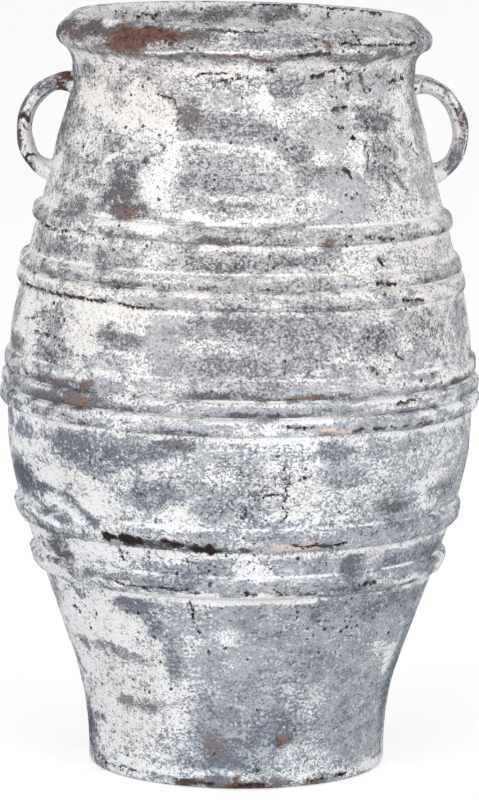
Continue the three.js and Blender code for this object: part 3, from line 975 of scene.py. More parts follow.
def scattered(seed, count, strength):
    """Patches thrown at random over the back. Each number is drawn evenly from its range, and the last is
    then multiplied by the strength."""
    rng = np.random.default_rng(seed)
    *sizes, climb, power = [rng.uniform(low, high, count) for low, high in UNSEEN_RANGES.values()]
    return {f"unseen {n}": row for n, row in enumerate(zip(*sizes, power * strength, climb))}


for number, (places, count, strength) in enumerate(UNSEEN_PLACES):
    places.update(scattered(UNSEEN_SEED + number, count, strength))
print("places on the unseen back:", [count for _, count, _ in UNSEEN_PLACES])

# %% Fades and clouds for the maps
MAPS = ("wash", "tone", "stain", "film", "bare", "blush", "fine", "pits", "craze", "flecks", "crack")
patchy = heaped(51, 16, 40)
streaky = heaped(55, 30, 8)
mottled = heaped(59, 5, 12)


def band(height, middle, half):
    """1 at the middle height, fading beyond it as exp(-((height - middle) / half)^2)."""
    return np.exp(-(((height - middle) / half) ** 2))


def step(value, start, end):
    """0 below start, 1 above end, eased between by 3t^2 - 2t^3."""
    t = np.clip((value - start) / (end - start), 0, 1)
    return t * t * (3 - 2 * t)


def varied(share, cloudy):
    """A share that a cloud varies: level + swing * cloud, held between the least and the most."""
    level, swing, least, most = share
    return np.clip(level + swing * cloudy, least, most)


print("the patchy cloud spreads by", patchy(around, upwards).std().round(2), "about zero")

# %% What the cordons gather and lose, and the painted shade under them
CREASE_LIME, CREASE_ABOVE, CREASE_HALF = 0.42, 0.4, 1.2
DRIP_LIME, DRIP_BELOW, DRIP_HALF = 0.36, 3.0, 2.4
# The lower half of each cordon's face is darkened: painted shade under the cordon, with some rubbing.
RUB_AND_SHADE_BELOW, RUB_AND_SHADE_HALF = 0.6, 0.42
FACE_HALF = 0.8
LIMED = (0.8, 1.6, 0.1, 1.5)
LIMED_TURN = 37
# How strongly that darkening under the cordons comes and goes: painted shade with some rubbing.
RUB_AND_SHADE_SHARE = (0.7, 1.8, 0.05, 1.6)
RUB_AND_SHADE_TURN, RUB_AND_SHADE_RISE = 53, 40
CROWDED = ("upper_cordon_top", "belly_ridge_top", "belly_ridge_middle")
CROWDED_SHARE = 0.6


def along_cordons(angle, height):
    """Three sums over the cordons, each a bell round a height: lime in the creases over and under a cordon,
    rubbing and painted shade on the lower half of its face, and the face itself. Where cordons crowd, less
    lime drips."""
    gathered, rubbed_and_shaded, faces = 0, 0, 0
    for number, node in enumerate(CORDONS):
        middle, half = cordon_middle(node, angle), CORDONS[node][1]
        limed = varied(LIMED, patchy(angle + LIMED_TURN * number, middle))
        rub_and_shade_strength = varied(RUB_AND_SHADE_SHARE, patchy(angle - RUB_AND_SHADE_TURN * number, middle + RUB_AND_SHADE_RISE))
        room = CROWDED_SHARE if node in CROWDED else 1.0
        gathered = gathered + CREASE_LIME * limed * band(height, middle + half + CREASE_ABOVE, CREASE_HALF)
        gathered = gathered + DRIP_LIME * room * limed * band(height, middle - half - DRIP_BELOW, DRIP_HALF)
        # Darken the lower half of the face: partly rubbing, partly painted shade under the cordon.
        rubbed_and_shaded = rubbed_and_shaded + rub_and_shade_strength * band(height, middle - RUB_AND_SHADE_BELOW * half, RUB_AND_SHADE_HALF * half)
        faces = faces + np.exp(-(((height - middle) / (FACE_HALF * half)) ** 4))
    return gathered, rubbed_and_shaded, faces


print("most lime in a crease:", along_cordons(around, upwards)[0].max().round(2))

# %% How much film and whitewash is left
FILM_RIGHT, FILM_DRIFT, FILM_TURN = 0.12, 0.1, 45
FACE_FILM, FACE_FILM_MOTTLE = 0.35, 0.6
WASH_LEVEL, WASH_LEFT, WASH_RIGHT, WASH_LOW_RIGHT = 0.57, 0.075, 0.05, 0.02
WASH_PATCHY, WASH_STREAKY = 0.08, 0.06
FILM_LEVEL, FILM_SHARE = 0.47, 0.85
THICK_SHARE, WORN_SHARE, FILM_GUARD = 0.8, 0.7, 0.3
CRISP_LEVEL, CRISPNESS = 0.46, 1.22
LIME_LEVEL, LIME_MOTTLE = 0.8, 1.5
# Whitewash taken off under the cordons, partly rubbing and partly painted shade, and on their faces.
RUB_AND_SHADE_LOSS, FACE_LOSS = 0.15, 0.03
LOSS_LEVEL, LOSS_MOTTLE, LOSS_TURN = 0.85, 1.2, 50
LOWER_HEIGHTS = (330, 420)


def film_left(angle, height, right, faces, mottling):
    """Film: more to the right + drift + its places + a mottled share of the cordons' faces, within 0..1."""
    film = FILM_RIGHT * right + FILM_DRIFT * patchy(angle + FILM_TURN, height)
    film = laid(film, FILMED, angle, height)
    return np.clip(film + faces * (FACE_FILM + FACE_FILM_MOTTLE * mottling), 0, 1)


def wash_left(angle, height, left, right, film, mottling, cordons):
    """Whitewash: a level for each side + drift, drawn to FILM_LEVEL under film, + thick places - worn places
    + strokes. Then it is stretched away from CRISP_LEVEL, and the cordons add lime and take some off under
    themselves, partly for rubbing and partly as painted shade."""
    gathered, rubbed_and_shaded, faces = cordons
    lower = 1 - step(height, *LOWER_HEIGHTS)
    wash = WASH_LEVEL + WASH_LEFT * left + WASH_RIGHT * right - WASH_LOW_RIGHT * lower * right
    wash = wash + WASH_PATCHY * patchy(angle, height) + WASH_STREAKY * streaky(angle, height)
    wash = wash + (FILM_LEVEL - wash) * FILM_SHARE * film
    wash = wash + THICK_SHARE * laid(0.0, THICK, angle, height)
    worn = WORN_SHARE * (1 - FILM_GUARD * film) * laid(0.0, WORN, angle, height)
    wash = wash - worn + stroked(STROKES, angle, height)
    wash = CRISP_LEVEL + CRISPNESS * (wash - CRISP_LEVEL)
    wash = wash + gathered * (LIME_LEVEL + LIME_MOTTLE * mottling)
    # Under the cordons the whitewash thins: partly rubbing, partly painted shade.
    patchy_loss = LOSS_LEVEL + LOSS_MOTTLE * mottled(angle + LOSS_TURN, height)
    return wash - (RUB_AND_SHADE_LOSS * rubbed_and_shaded + FACE_LOSS * faces) * patchy_loss


print("whitewash starts from", WASH_LEVEL, "and film draws it to", FILM_LEVEL)

# %% All the maps
LEFT_SIDE, RIGHT_SIDE, FRONT_FACE = (0.1, 0.6), (0.15, 0.7), (0.6, 0.9)
TONE_HEIGHTS, TONE_RANGE, TONE_LEVEL, TONE_DRIFT, TONE_TURN = (510, 310), 0.75, 0.12, 0.2, 90
# Stain and bare clay gained under the cordons are partly rubbing and partly painted shade.
STAIN_LEVEL, STAIN_DRIFT, STAIN_RISE, RUB_AND_SHADE_STAIN = 0.12, 0.1, 40, 0.35
RUB_AND_SHADE_BARE, BARE_LEVEL, BARE_MOTTLE, BARE_TURN = 0.16, 0.6, 1.2, 20
BARE_SHARE, BLUSH_SHARE = 0.55, 0.2
DEEP_HEIGHTS = (700, 560)
LINING_LEVEL, LINING_DEEP, LINING_DRIFT, LINING_BARE, LINING_PITS = 0.83, 0.6, 0.12, 0.35, 0.16
FINE_LEVEL, FINE_FRONT, FINE_LEFT = 0.5, 0.5, 0.3
PIT_LEVEL, PIT_DRIFT, PIT_TURN = 0.06, 0.05, 20
CRAZE_LEVEL = 0.1
FLECK_LEVEL, BARE_FLECKS = 0.1, 0.5


def coats(angle, height, inside):
    """Every map but the cracks, at an angle in degrees and a height in millimetres, with 1 on the inside of
    the jar. A map is its level + a cloud's drift + its own places + its share of the rubbing and painted
    shade under the cordons. A cloud that serves twice is looked up further round. On the inside, outer maps
    fade to those of the lining."""
    side, front = np.sin(np.radians(angle)), np.cos(np.radians(angle))
    left, right = step(-side, *LEFT_SIDE), step(side, *RIGHT_SIDE)
    mottling = mottled(angle, height)
    cordons = along_cordons(angle, height)
    _, rubbed_and_shaded, faces = cordons
    film = film_left(angle, height, right, faces, mottling)
    wash = wash_left(angle, height, left, right, film, mottling, cordons)
    tone = step(height, *TONE_HEIGHTS) * TONE_RANGE + TONE_LEVEL
    tone = tone + TONE_DRIFT * patchy(angle + TONE_TURN, height)
    stain = laid(STAIN_LEVEL + STAIN_DRIFT * streaky(angle, height + STAIN_RISE), STAINED, angle, height)
    # Stain and bare clay under the cordons: partly rubbing, partly painted shade.
    stain = stain + RUB_AND_SHADE_STAIN * rubbed_and_shaded
    patchy_bare = BARE_LEVEL + BARE_MOTTLE * mottled(angle + BARE_TURN, height)
    bare = laid(0.0, BARE, angle, height) + RUB_AND_SHADE_BARE * rubbed_and_shaded * patchy_bare
    blush = laid(0.0, BLUSH, angle, height)
    wash = wash - BARE_SHARE * bare - BLUSH_SHARE * blush
    deep = step(height, *DEEP_HEIGHTS) * inside
    lining = LINING_LEVEL - LINING_DEEP * deep + LINING_DRIFT * patchy(angle, height)
    lining = lining - WORN_SHARE * laid(0.0, LINING_WORN, angle, height)
    wash = wash * (1 - inside) + inside * lining
    bare = bare * (1 - inside) + inside * LINING_BARE * deep
    film = film * (1 - inside)
    fine = np.clip(FINE_LEVEL + FINE_FRONT * step(front, *FRONT_FACE) - FINE_LEFT * left, 0, 1)
    pits = laid(PIT_LEVEL + PIT_DRIFT * patchy(angle + PIT_TURN, height), PITTED, angle, height)
    pits = pits * (1 - inside) + LINING_PITS * inside
    craze = laid(CRAZE_LEVEL, CRAZED, angle, height) * (1 - inside)
    flecks = laid(FLECK_LEVEL, FLECKED, angle, height) - BARE_FLECKS * bare
    flecks = np.clip(flecks, 0, 1) * (1 - inside)
    return dict(zip(MAPS, (wash, tone, stain, film, bare, blush, fine, pits, craze, flecks)))


sample = coats(around, upwards, np.zeros_like(around))
print("means of the maps:", {key: round(float(values.mean()), 2) for key, values in sample.items()})

# %% [markdown]
# ## A skin from a grid of points
# Every piece is a grid: rows run along its section, columns run round the jar or round the strap. The
# columns always close on themselves. The rows close too on a ring, whose section is a loop, and on a slab
# or a strap the first and last rows shrink to one point, so there is never a hole.

# %% Grid to mesh
SHARP_DEGREES = 50


def skin(name, grid, maps, poles=False):
    """Mesh with a vertex for each grid point and a face for each cell. Without poles the last row joins the
    first. With poles the end rows become one vertex each, joined to the next row by a fan of triangles.
    The faces are turned over where the sum of a . (b x c), six times the volume inside, is negative."""
    rows, columns, _ = grid.shape
    index = np.arange(rows * columns).reshape(rows, columns)
    if poles:
        keep = np.concatenate([[0], np.arange(columns, (rows - 1) * columns), [(rows - 1) * columns]])
        index = np.clip(index - columns + 1, 0, (rows - 2) * columns + 1)
        index[0], index[-1] = 0, (rows - 2) * columns + 1
        body = index[1:-1]
        upper, lower = body[1:], body[:-1]
    else:
        keep = np.arange(rows * columns)
        lower, upper = index, np.roll(index, -1, 0)
    turned = lambda a: np.roll(a, -1, 1)
    quads = np.stack([lower, turned(lower), turned(upper), upper], -1).reshape(-1, 4)
    fans = np.zeros((0, 3), int)
    if poles:
        first, last = index[1], index[-2]
        start = np.stack([np.full(columns, index[0, 0]), np.roll(first, -1), first], -1)
        end = np.stack([np.full(columns, index[-1, 0]), last, np.roll(last, -1)], -1)
        fans = np.vstack([start, end])
    place = grid.reshape(-1, 3)[keep]
    corner = place[quads]
    volume = np.einsum("ij,ij->i", corner[:, 0], np.cross(corner[:, 1], corner[:, 2])).sum()
    volume += np.einsum("ij,ij->i", corner[:, 0], np.cross(corner[:, 2], corner[:, 3])).sum()
    if volume < 0:
        quads, fans = quads[:, ::-1], fans[:, ::-1]
    mesh = bpy.data.meshes.new(name)
    mesh.vertices.add(len(place))
    mesh.vertices.foreach_set("co", place.astype(np.float32).ravel())
    mesh.loops.add(quads.size + fans.size)
    mesh.loops.foreach_set("vertex_index", np.concatenate([quads.ravel(), fans.ravel()]).astype(np.int32))
    mesh.polygons.add(len(quads) + len(fans))
    starts = np.concatenate([np.arange(len(quads)) * 4, quads.size + np.arange(len(fans)) * 3])
    mesh.polygons.foreach_set("loop_start", starts.astype(np.int32))
    mesh.update(calc_edges=True)
    mesh.shade_smooth()
    mesh.set_sharp_from_angle(angle=np.radians(SHARP_DEGREES))
    for key, values in maps.items():
        attribute = mesh.attributes.new(key, "FLOAT", "POINT")
        attribute.data.foreach_set("value", np.asarray(values, np.float32).reshape(-1)[keep])
    piece = bpy.data.objects.new(name, mesh)
    bpy.context.scene.collection.objects.link(piece)
    print(f"{name}: {2 * len(quads) + len(fans)} triangles")
    return piece


def settle(piece, node, finish):
    """The piece stands for its solid, rides with it and wears the finish."""
    piece.data.materials.append(finish)
    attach(piece, "root")
    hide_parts(node)


print("corners over", SHARP_DEGREES, "degrees stay sharp")

# %% [markdown]
# ## Turning a section round the jar
# A section is a closed loop of radius and height, all in millimetres. It is carried round the axis in half
# degree steps, which is 2 mm at the belly, the width of a brush hair's track. The unevenness moves a point
# along its radius, and chips press it in. Inside points take the same sway, so the wall keeps its thickness.

# %% Turn a section
COLUMNS = 720
CHIP_DEPTH = 2.2
CHIP_EDGE = (0.75, 1.15)
STILL_RADII = (20, 120)
angles = np.arange(COLUMNS) * FULL_TURN / COLUMNS - HALF_TURN


def turned_skin(name, radius, height, inside, poles=False):
    """Skin whose point at angle a is (r sin a, -r cos a, z). Radius, height and inside hold one row for each
    point of the section and one column for each angle, or one column for all. The middle of the slab stays
    still, because all columns meet there."""
    shape = (len(radius), COLUMNS)
    angle = np.broadcast_to(angles, shape).copy()
    radius = np.broadcast_to(radius, shape).copy()
    height = np.broadcast_to(height, shape).copy()
    inside = np.broadcast_to(inside, shape)
    maps = coats(angle, height, inside)
    maps["crack"] = nearness(CRACKS, angle, height, radius) * (1 - inside)
    maps["crack"] += nearness(LINING_CRACKS, angle, height, radius) * inside
    off_axis = step(radius, *STILL_RADII)
    pressed = CHIP_DEPTH * step(maps["crack"], *CHIP_EDGE)
    radius = radius + off_axis * unevenness(angle, height) - pressed
    turn = np.radians(angle)
    grid = np.stack([radius * np.sin(turn), -radius * np.cos(turn), height], -1) * MM
    return skin(name, grid, maps, poles)


girth = FULL_TURN / COLUMNS * np.radians(outline_radius.max() / MM)
print(COLUMNS, "columns,", girth.round(2), "mm apart at the belly")

# %% [markdown]
# ## The wall rings
# The wall is seven courses, luted one on another. Each joint dips inwards, so that a course seats itself
# on the one below. The outside needs a row every two millimetres to carry its maps, but nobody sees the
# inside from close by, so its rows are wide apart.

# %% Section of a wall ring
WALL_THICKNESS = 16.0
JOINT_DROP = 6.0
ROW_OUTSIDE = 2.0
ROW_INSIDE = 8.0
JOINT_SHARES = np.array([1, 2, 3]) / 4
SLAB_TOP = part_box("base_slab")[1].z / MM


def rising(bottom, top, spacing):
    """Heights from bottom to top, no further apart than the spacing."""
    return np.linspace(bottom, top, int(np.ceil((top - bottom) / spacing)) + 1)


def ring_section(bottom, top):
    """Up the outside, in along the upper joint, down the inside and out along the lower joint.
    A joint's inner edge lies JOINT_DROP lower, but the foot ring stands flat on the slab."""
    drop = 0 if bottom <= SLAB_TOP else JOINT_DROP
    outer = rising(bottom, top, ROW_OUTSIDE)
    inner = rising(bottom - drop, top - JOINT_DROP, ROW_INSIDE)[::-1]
    outer_radius = wall_radius(outer * MM) / MM
    inner_radius = wall_radius(inner * MM) / MM - WALL_THICKNESS
    share = JOINT_SHARES
    upper = outer_radius[-1] + (inner_radius[0] - outer_radius[-1]) * share
    lower = inner_radius[-1] + (outer_radius[0] - inner_radius[-1]) * share
    radius = np.concatenate([outer_radius, upper, inner_radius, lower])
    height = np.concatenate([outer, top - JOINT_DROP * share, inner, bottom - drop + drop * share])
    inside = np.concatenate([np.zeros(len(outer)), share, np.ones(len(inner)), 1 - share])
    return radius[:, None], height[:, None], inside[:, None]


ring_joints = [SLAB_TOP] + [outward_corners(ring)[:, 0].max() / MM for ring in WALL_RINGS]
print("joints at", [round(float(joint), 1) for joint in ring_joints])

# %% [markdown]
# ## The finish
# From the clay outwards the jar wears: fired clay, a grey ground coat that is umber at the top and slate at
# the foot, a thin lavender film, and whitewash. The whitewash was brushed on dry, so it broke into grains.
# How much of a coat is left at any spot is its map plus a grain of noise. That sum is used for more than
# one coat, so it is a node group.

# %% Helpers for node groups
def new_group(name, inputs, outputs):
    """An empty node group with the named sockets: a kind and a value for each input, a kind for each output.
    Returns the group, the sockets it is given and those it gives."""
    group = bpy.data.node_groups.new(name, "ShaderNodeTree")
    for socket, (kind, value) in inputs.items():
        made = group.interface.new_socket(socket, in_out="INPUT", socket_type=f"NodeSocket{kind}")
        if value is not None:
            made.default_value = value
    for socket, kind in outputs.items():
        group.interface.new_socket(socket, in_out="OUTPUT", socket_type=f"NodeSocket{kind}")
    source = group.nodes.new("NodeGroupInput")
    result = group.nodes.new("NodeGroupOutput")
    return group, source.outputs, result.inputs


def plug(tree, source, target):
    """A link when the source is a socket, and a set value otherwise."""
    if isinstance(source, bpy.types.NodeSocket):
        tree.links.new(source, target)
    else:
        target.default_value = source


def used(tree, group, **given):
    """A node that runs a group in this tree, with its inputs linked or set; returns its outputs."""
    node = tree.nodes.new("ShaderNodeGroup")
    node.node_tree = group
    for socket, value in given.items():
        plug(tree, value, node.inputs[socket])
    return node.outputs


def srgb(red, green, blue):
    """Linear colour of a colour given in 0..255 steps: ((c + 0.055) / 1.055) to the power 2.4."""
    steps = np.array([red, green, blue]) / 255
    linear = np.where(steps < 0.04045, steps / 12.92, ((steps + 0.055) / 1.055) ** 2.4)
    return (*linear.tolist(), 1.0)


print("middle grey in linear light:", round(srgb(128, 128, 128)[0], 3))

# %% Helpers that make one node each
NOISE_MIDDLE = 0.5


def maths(tree, operation, *values, clamp=False):
    """One Math node; returns its result."""
    node = tree.nodes.new("ShaderNodeMath")
    node.operation, node.use_clamp = operation, clamp
    for value, socket in zip(values, node.inputs):
        plug(tree, value, socket)
    return node.outputs[0]


def vector_maths(tree, operation, *values):
    """One Vector Math node; returns its result."""
    node = tree.nodes.new("ShaderNodeVectorMath")
    node.operation = operation
    for value, socket in zip(values, node.inputs):
        plug(tree, value, socket)
    return node.outputs[0]


def remap(tree, value, low, high, to_low=0.0, to_high=1.0):
    """Carries low..high to to_low..to_high in a smooth step, and holds beyond them."""
    node = tree.nodes.new("ShaderNodeMapRange")
    node.interpolation_type = "SMOOTHSTEP"
    sockets = ("Value", "From Min", "From Max", "To Min", "To Max")
    for socket, number in zip(sockets, (value, low, high, to_low, to_high)):
        plug(tree, number, node.inputs[socket])
    return node.outputs[0]


def blend_colour(tree, share, first, second):
    """First colour where the share is 0, second where it is 1."""
    node = tree.nodes.new("ShaderNodeMix")
    node.data_type = "RGBA"
    plug(tree, share, node.inputs[0])
    plug(tree, first, node.inputs[6])
    plug(tree, second, node.inputs[7])
    return node.outputs[2]


def noise(tree, place, per_metre, detail, roughness, squash=(1, 1, 1), twist=0.0):
    """Noise with about per_metre blots to the metre, squashed along each axis and twisted."""
    mapping = tree.nodes.new("ShaderNodeMapping")
    mapping.inputs["Scale"].default_value = squash
    tree.links.new(place, mapping.inputs["Vector"])
    node = tree.nodes.new("ShaderNodeTexNoise")
    node.inputs["Scale"].default_value = per_metre
    node.inputs["Detail"].default_value = detail
    node.inputs["Roughness"].default_value = roughness
    node.inputs["Distortion"].default_value = twist
    tree.links.new(mapping.outputs[0], node.inputs["Vector"])
    return node.outputs["Fac"]


print("noise runs from 0 to 1 about", NOISE_MIDDLE)

# %% Grain: how much of the coat is left here
GRAINS = [
    (70, 3, 0.78, (1, 1, 1.25)),
    (330, 1, 0.7, (1, 1, 1.15), 0.8),
    (75, 2, 0.7, (1, 1, 3.2), 0.5),
]
BROAD_SWINGS = (2.1, 0.75)
SMALL_SWINGS = (1.35, 1.4)
STREAK_SWING = 0.6


def grain_group():
    """Level of a coat: its cover plus broad, small and streaked grain about zero. Fine moves the swing from
    the broad grain, which leaves flakes, to the small grain, which leaves stipple."""
    inputs = {"Place": ("Vector", None), "Cover": ("Float", 0.5), "Fine": ("Float", 0.5)}
    group, given, gives = new_group("coat grain", inputs, {"Level": "Float", "Grain": "Float"})
    grains = [noise(group, given["Place"], *settings) for settings in GRAINS]
    broad, small, streaks = [maths(group, "SUBTRACT", grain, NOISE_MIDDLE) for grain in grains]
    broad = maths(group, "MULTIPLY", broad, remap(group, given["Fine"], 0, 1, *BROAD_SWINGS))
    small = maths(group, "MULTIPLY", small, remap(group, given["Fine"], 0, 1, *SMALL_SWINGS))
    grain = maths(group, "MULTIPLY_ADD", streaks, STREAK_SWING, maths(group, "ADD", broad, small))
    group.links.new(maths(group, "ADD", given["Cover"], grain), gives["Level"])
    group.links.new(grain, gives["Grain"])
    return group


GRAIN = grain_group()
print("the grain takes", len(GRAIN.nodes), "nodes")

# %% Dots: pits in the coats and flecks of lime
LARGEST_DOT = 0.36
SMALLEST_DOT = 0.03
LEAST_EMPTY = 0.995
DOT_RAGGED = (1.4, 3, 0.75)
DOT_RAG = 1.3
DOT_EDGE = 0.06


def dots_group():
    """Space is cut into cells, and the given share of them hold a round dot with a ragged edge. Its radius is
    drawn at random, up to LARGEST_DOT of a cell."""
    inputs = {"Place": ("Vector", None), "Share": ("Float", 0.1)}
    group, given, gives = new_group("dots", inputs, {"Dot": "Float"})
    cells = group.nodes.new("ShaderNodeTexVoronoi")
    cells.inputs["Scale"].default_value = 1.0
    group.links.new(given["Place"], cells.inputs["Vector"])
    chosen = group.nodes.new("ShaderNodeSeparateColor")
    group.links.new(cells.outputs["Color"], chosen.inputs[0])
    empty = maths(group, "MINIMUM", maths(group, "SUBTRACT", 1.0, given["Share"]), LEAST_EMPTY)
    size = maths(group, "MULTIPLY", remap(group, chosen.outputs[0], empty, 1.0), LARGEST_DOT)
    ragged = noise(group, given["Place"], *DOT_RAGGED)
    ragged = maths(group, "MULTIPLY_ADD", ragged, DOT_RAG, -DOT_RAG / 2)
    reach = maths(group, "ADD", cells.outputs["Distance"], ragged)
    edge = remap(group, maths(group, "SUBTRACT", size, reach), -DOT_EDGE, DOT_EDGE)
    dot = maths(group, "MULTIPLY", edge, maths(group, "GREATER_THAN", size, SMALLEST_DOT))
    group.links.new(dot, gives["Dot"])
    return group


DOTS = dots_group()
print("the dots take", len(DOTS.nodes), "nodes")

# %% [markdown]
# ## The coats in order
# The colour is built from the clay outwards. Each coat has its own colour that drifts a little, and covers
# what is below it where its level is high enough. The film shows first and the whitewash over it, so a worn
# edge runs from white through pale grey to the ground. Cracks and pits come last and go through everything.
# The same levels give the height for the relief: whitewash lies on top, and a crack is a groove.

# %% Colours of the coats
CLAY = srgb(114, 86, 73)
CLAY_DARK = srgb(66, 50, 44)
CLAY_DUST = srgb(136, 114, 106)
UMBER = srgb(122, 119, 122)
SLATE = srgb(109, 122, 136)
GROUND_DARK = srgb(72, 68, 72)
GROUND_PALE = srgb(168, 168, 172)
FILM_UMBER = srgb(203, 202, 205)
FILM_SLATE = srgb(170, 178, 189)
WHITEWASH = srgb(244, 241, 238)
WHITEWASH_COOL = srgb(241, 243, 246)
WHITEWASH_CREAM = srgb(231, 227, 224)
WHITEWASH_THIN = srgb(209, 209, 213)
PINK_CLAY = srgb(226, 206, 198)
CRACK_DARK = srgb(44, 31, 32)
CRACK_PALE = srgb(92, 83, 79)
print("whitewash in linear light:", [round(part, 2) for part in WHITEWASH[:3]])

# %% Ramps and noises of the coats
# A ramp is where it starts and ends, and then what it runs from and to when that is not 0 to 1.
# A noise is its blots to the metre, detail, roughness, squash and twist.
RAMPS = {
    "clay": (0.35, 0.65),
    "pale dust": (0.52, 0.72),
    "dark dust": (0.3, 0.52, 0.45, 0.0),
    "clay dust": (0.08, 0.7, 0.0, 0.85),
    "bare clay": (0.52, 0.82),
    "grain in film": (0.15, 0.75, 1.0, 0.55),
    "film": (0.28, 0.42),
    "film drift": (0.4, 0.75, 0.0, 0.6),
    "film dust": (0.45, 0.75, 0.0, 0.3),
    "film clouds": (0.42, 0.66, 0.0, 0.55),
    "white": (0.55, 0.64),
    "cream": (0.42, 0.62, 0.0, 0.5),
    "thick white": (0.68, 0.95, 1.0, 0.55),
    "smudge": (0.5, 0.66, 0.0, 0.35),
    "thin white": (0.42, 0.66),
    "pinholes": (0.585, 0.66, 0.0, 0.85),
    "crack": (0.88, 1.05),
    "craze line": (0.01, 0.055, 1.0, 0.0),
    "craze gaps": (0.3, 0.55),
    "shallow clouds": (0.42, 0.6),
    "shallow crack": (1.08, 1.3, 1.0, 0.0),
    "roughness": (0, 1, 0.82, 0.95),
}
NOISES = {
    "drift": (16, 4, 0.6),
    "dust": (480, 2, 0.6),
    "clay": (200, 4, 0.7),
    "clouds": (42, 5, 0.72, (1, 1, 1.4)),
    "pinholes": (380, 1, 0.6, (1, 1, 1.3), 1.0),
    "crack edge": (260, 3, 0.75),
    "craze gaps": (75, 3, 0.75),
}


def ramped(tree, name, value):
    """The value carried through the ramp of that name."""
    return remap(tree, value, *RAMPS[name])


def tools(tree):
    """The three helpers that every coat uses, each tied to this tree."""
    return [partial(helper, tree) for helper in (maths, ramped, blend_colour)]


def dotted(tree, given, share, per_metre):
    """Dots in cells of 1 / per_metre metres, in the given share of the cells."""
    place = vector_maths(tree, "MULTIPLY", given["Place"], [per_metre] * 3)
    return used(tree, DOTS, Place=place, Share=share)["Dot"]


print(len(RAMPS), "ramps and", len(NOISES), "noises")

# %% Clay and ground
CLAY_DUST_SWING = 1.6
BARE_SHIFT = (3.1, 1.7, 0.4)


def ground_coat(tree, given, spread):
    """The ground's colour, and the ground with bare clay in it. Ground: umber to slate by the tone map, then
    pale dust, dark stains and clay dust. Bare clay shows where the bare map plus its own grain is high."""
    math, ramp, mix = tools(tree)
    dust = spread["dust"]
    clay = mix(ramp("clay", spread["clay"]), CLAY_DARK, CLAY)
    ground = mix(given["tone"], UMBER, SLATE)
    ground = mix(ramp("pale dust", dust), ground, GROUND_PALE)
    darker = math("ADD", given["stain"], ramp("dark dust", dust), clamp=True)
    ground = mix(darker, ground, GROUND_DARK)
    dusted = math("SUBTRACT", dust, NOISE_MIDDLE)
    dusted = math("MULTIPLY_ADD", dusted, CLAY_DUST_SWING, given["bare"])
    ground = mix(ramp("clay dust", dusted), ground, CLAY_DUST)
    shifted = vector_maths(tree, "ADD", given["Place"], BARE_SHIFT)
    bare = used(tree, GRAIN, Place=shifted, Cover=given["bare"], Fine=0.5)["Level"]
    return ground, mix(ramp("bare clay", bare), ground, clay)


print("clay dust comes and goes by", CLAY_DUST_SWING * NOISE_MIDDLE)

# %% Film and whitewash
FILM_STRENGTH = 0.9
BLUSH_STRENGTH = 0.9
FLECKS_PER_METRE = 230.0


def white_coats(tree, given, spread, wash, ground, colour):
    """Over the colour come film, whitewash, flecks and blush, each by its own level, and pinholes down to the
    ground. The tints of film and whitewash drift, and thick whitewash has fewer smudges and pinholes."""
    math, ramp, mix = tools(tree)
    film = mix(given["tone"], FILM_UMBER, FILM_SLATE)
    film = mix(ramp("film drift", spread["drift"]), film, WHITEWASH_THIN)
    film = mix(ramp("film dust", spread["dust"]), film, ground)
    film = mix(ramp("film clouds", spread["clouds"]), film, ground)
    colour = mix(math("MULTIPLY", ramp("film", wash), FILM_STRENGTH), colour, film)
    thick = ramp("thick white", given["wash"])
    white = mix(given["tone"], WHITEWASH, WHITEWASH_COOL)
    white = mix(ramp("cream", spread["drift"]), white, WHITEWASH_CREAM)
    smudged = math("MULTIPLY", ramp("smudge", spread["clouds"]), thick)
    white = mix(smudged, white, WHITEWASH_THIN)
    white = mix(ramp("thin white", given["wash"]), WHITEWASH_THIN, white)
    colour = mix(ramp("white", wash), colour, white)
    colour = mix(dotted(tree, given, given["flecks"], FLECKS_PER_METRE), colour, white)
    colour = mix(math("MULTIPLY", given["blush"], BLUSH_STRENGTH, clamp=True), colour, PINK_CLAY)
    pinholes = math("MULTIPLY", ramp("pinholes", spread["pinholes"]), thick)
    return mix(pinholes, colour, ground)


print("cells for flecks are", round(1 / FLECKS_PER_METRE / MM, 2), "mm wide")

# %% Cracks, pits and crazing
PITS_PER_METRE = 185.0
PIT_STRENGTH = 0.92
CRACK_RAG = 1.6
CRAZE_PER_METRE = 95.0
CRAZE_BENDS_PER_METRE = 110
CRAZE_BEND = 0.014
CRAZE_GAPS = 2.0
CRAZE_STRENGTH = 0.75


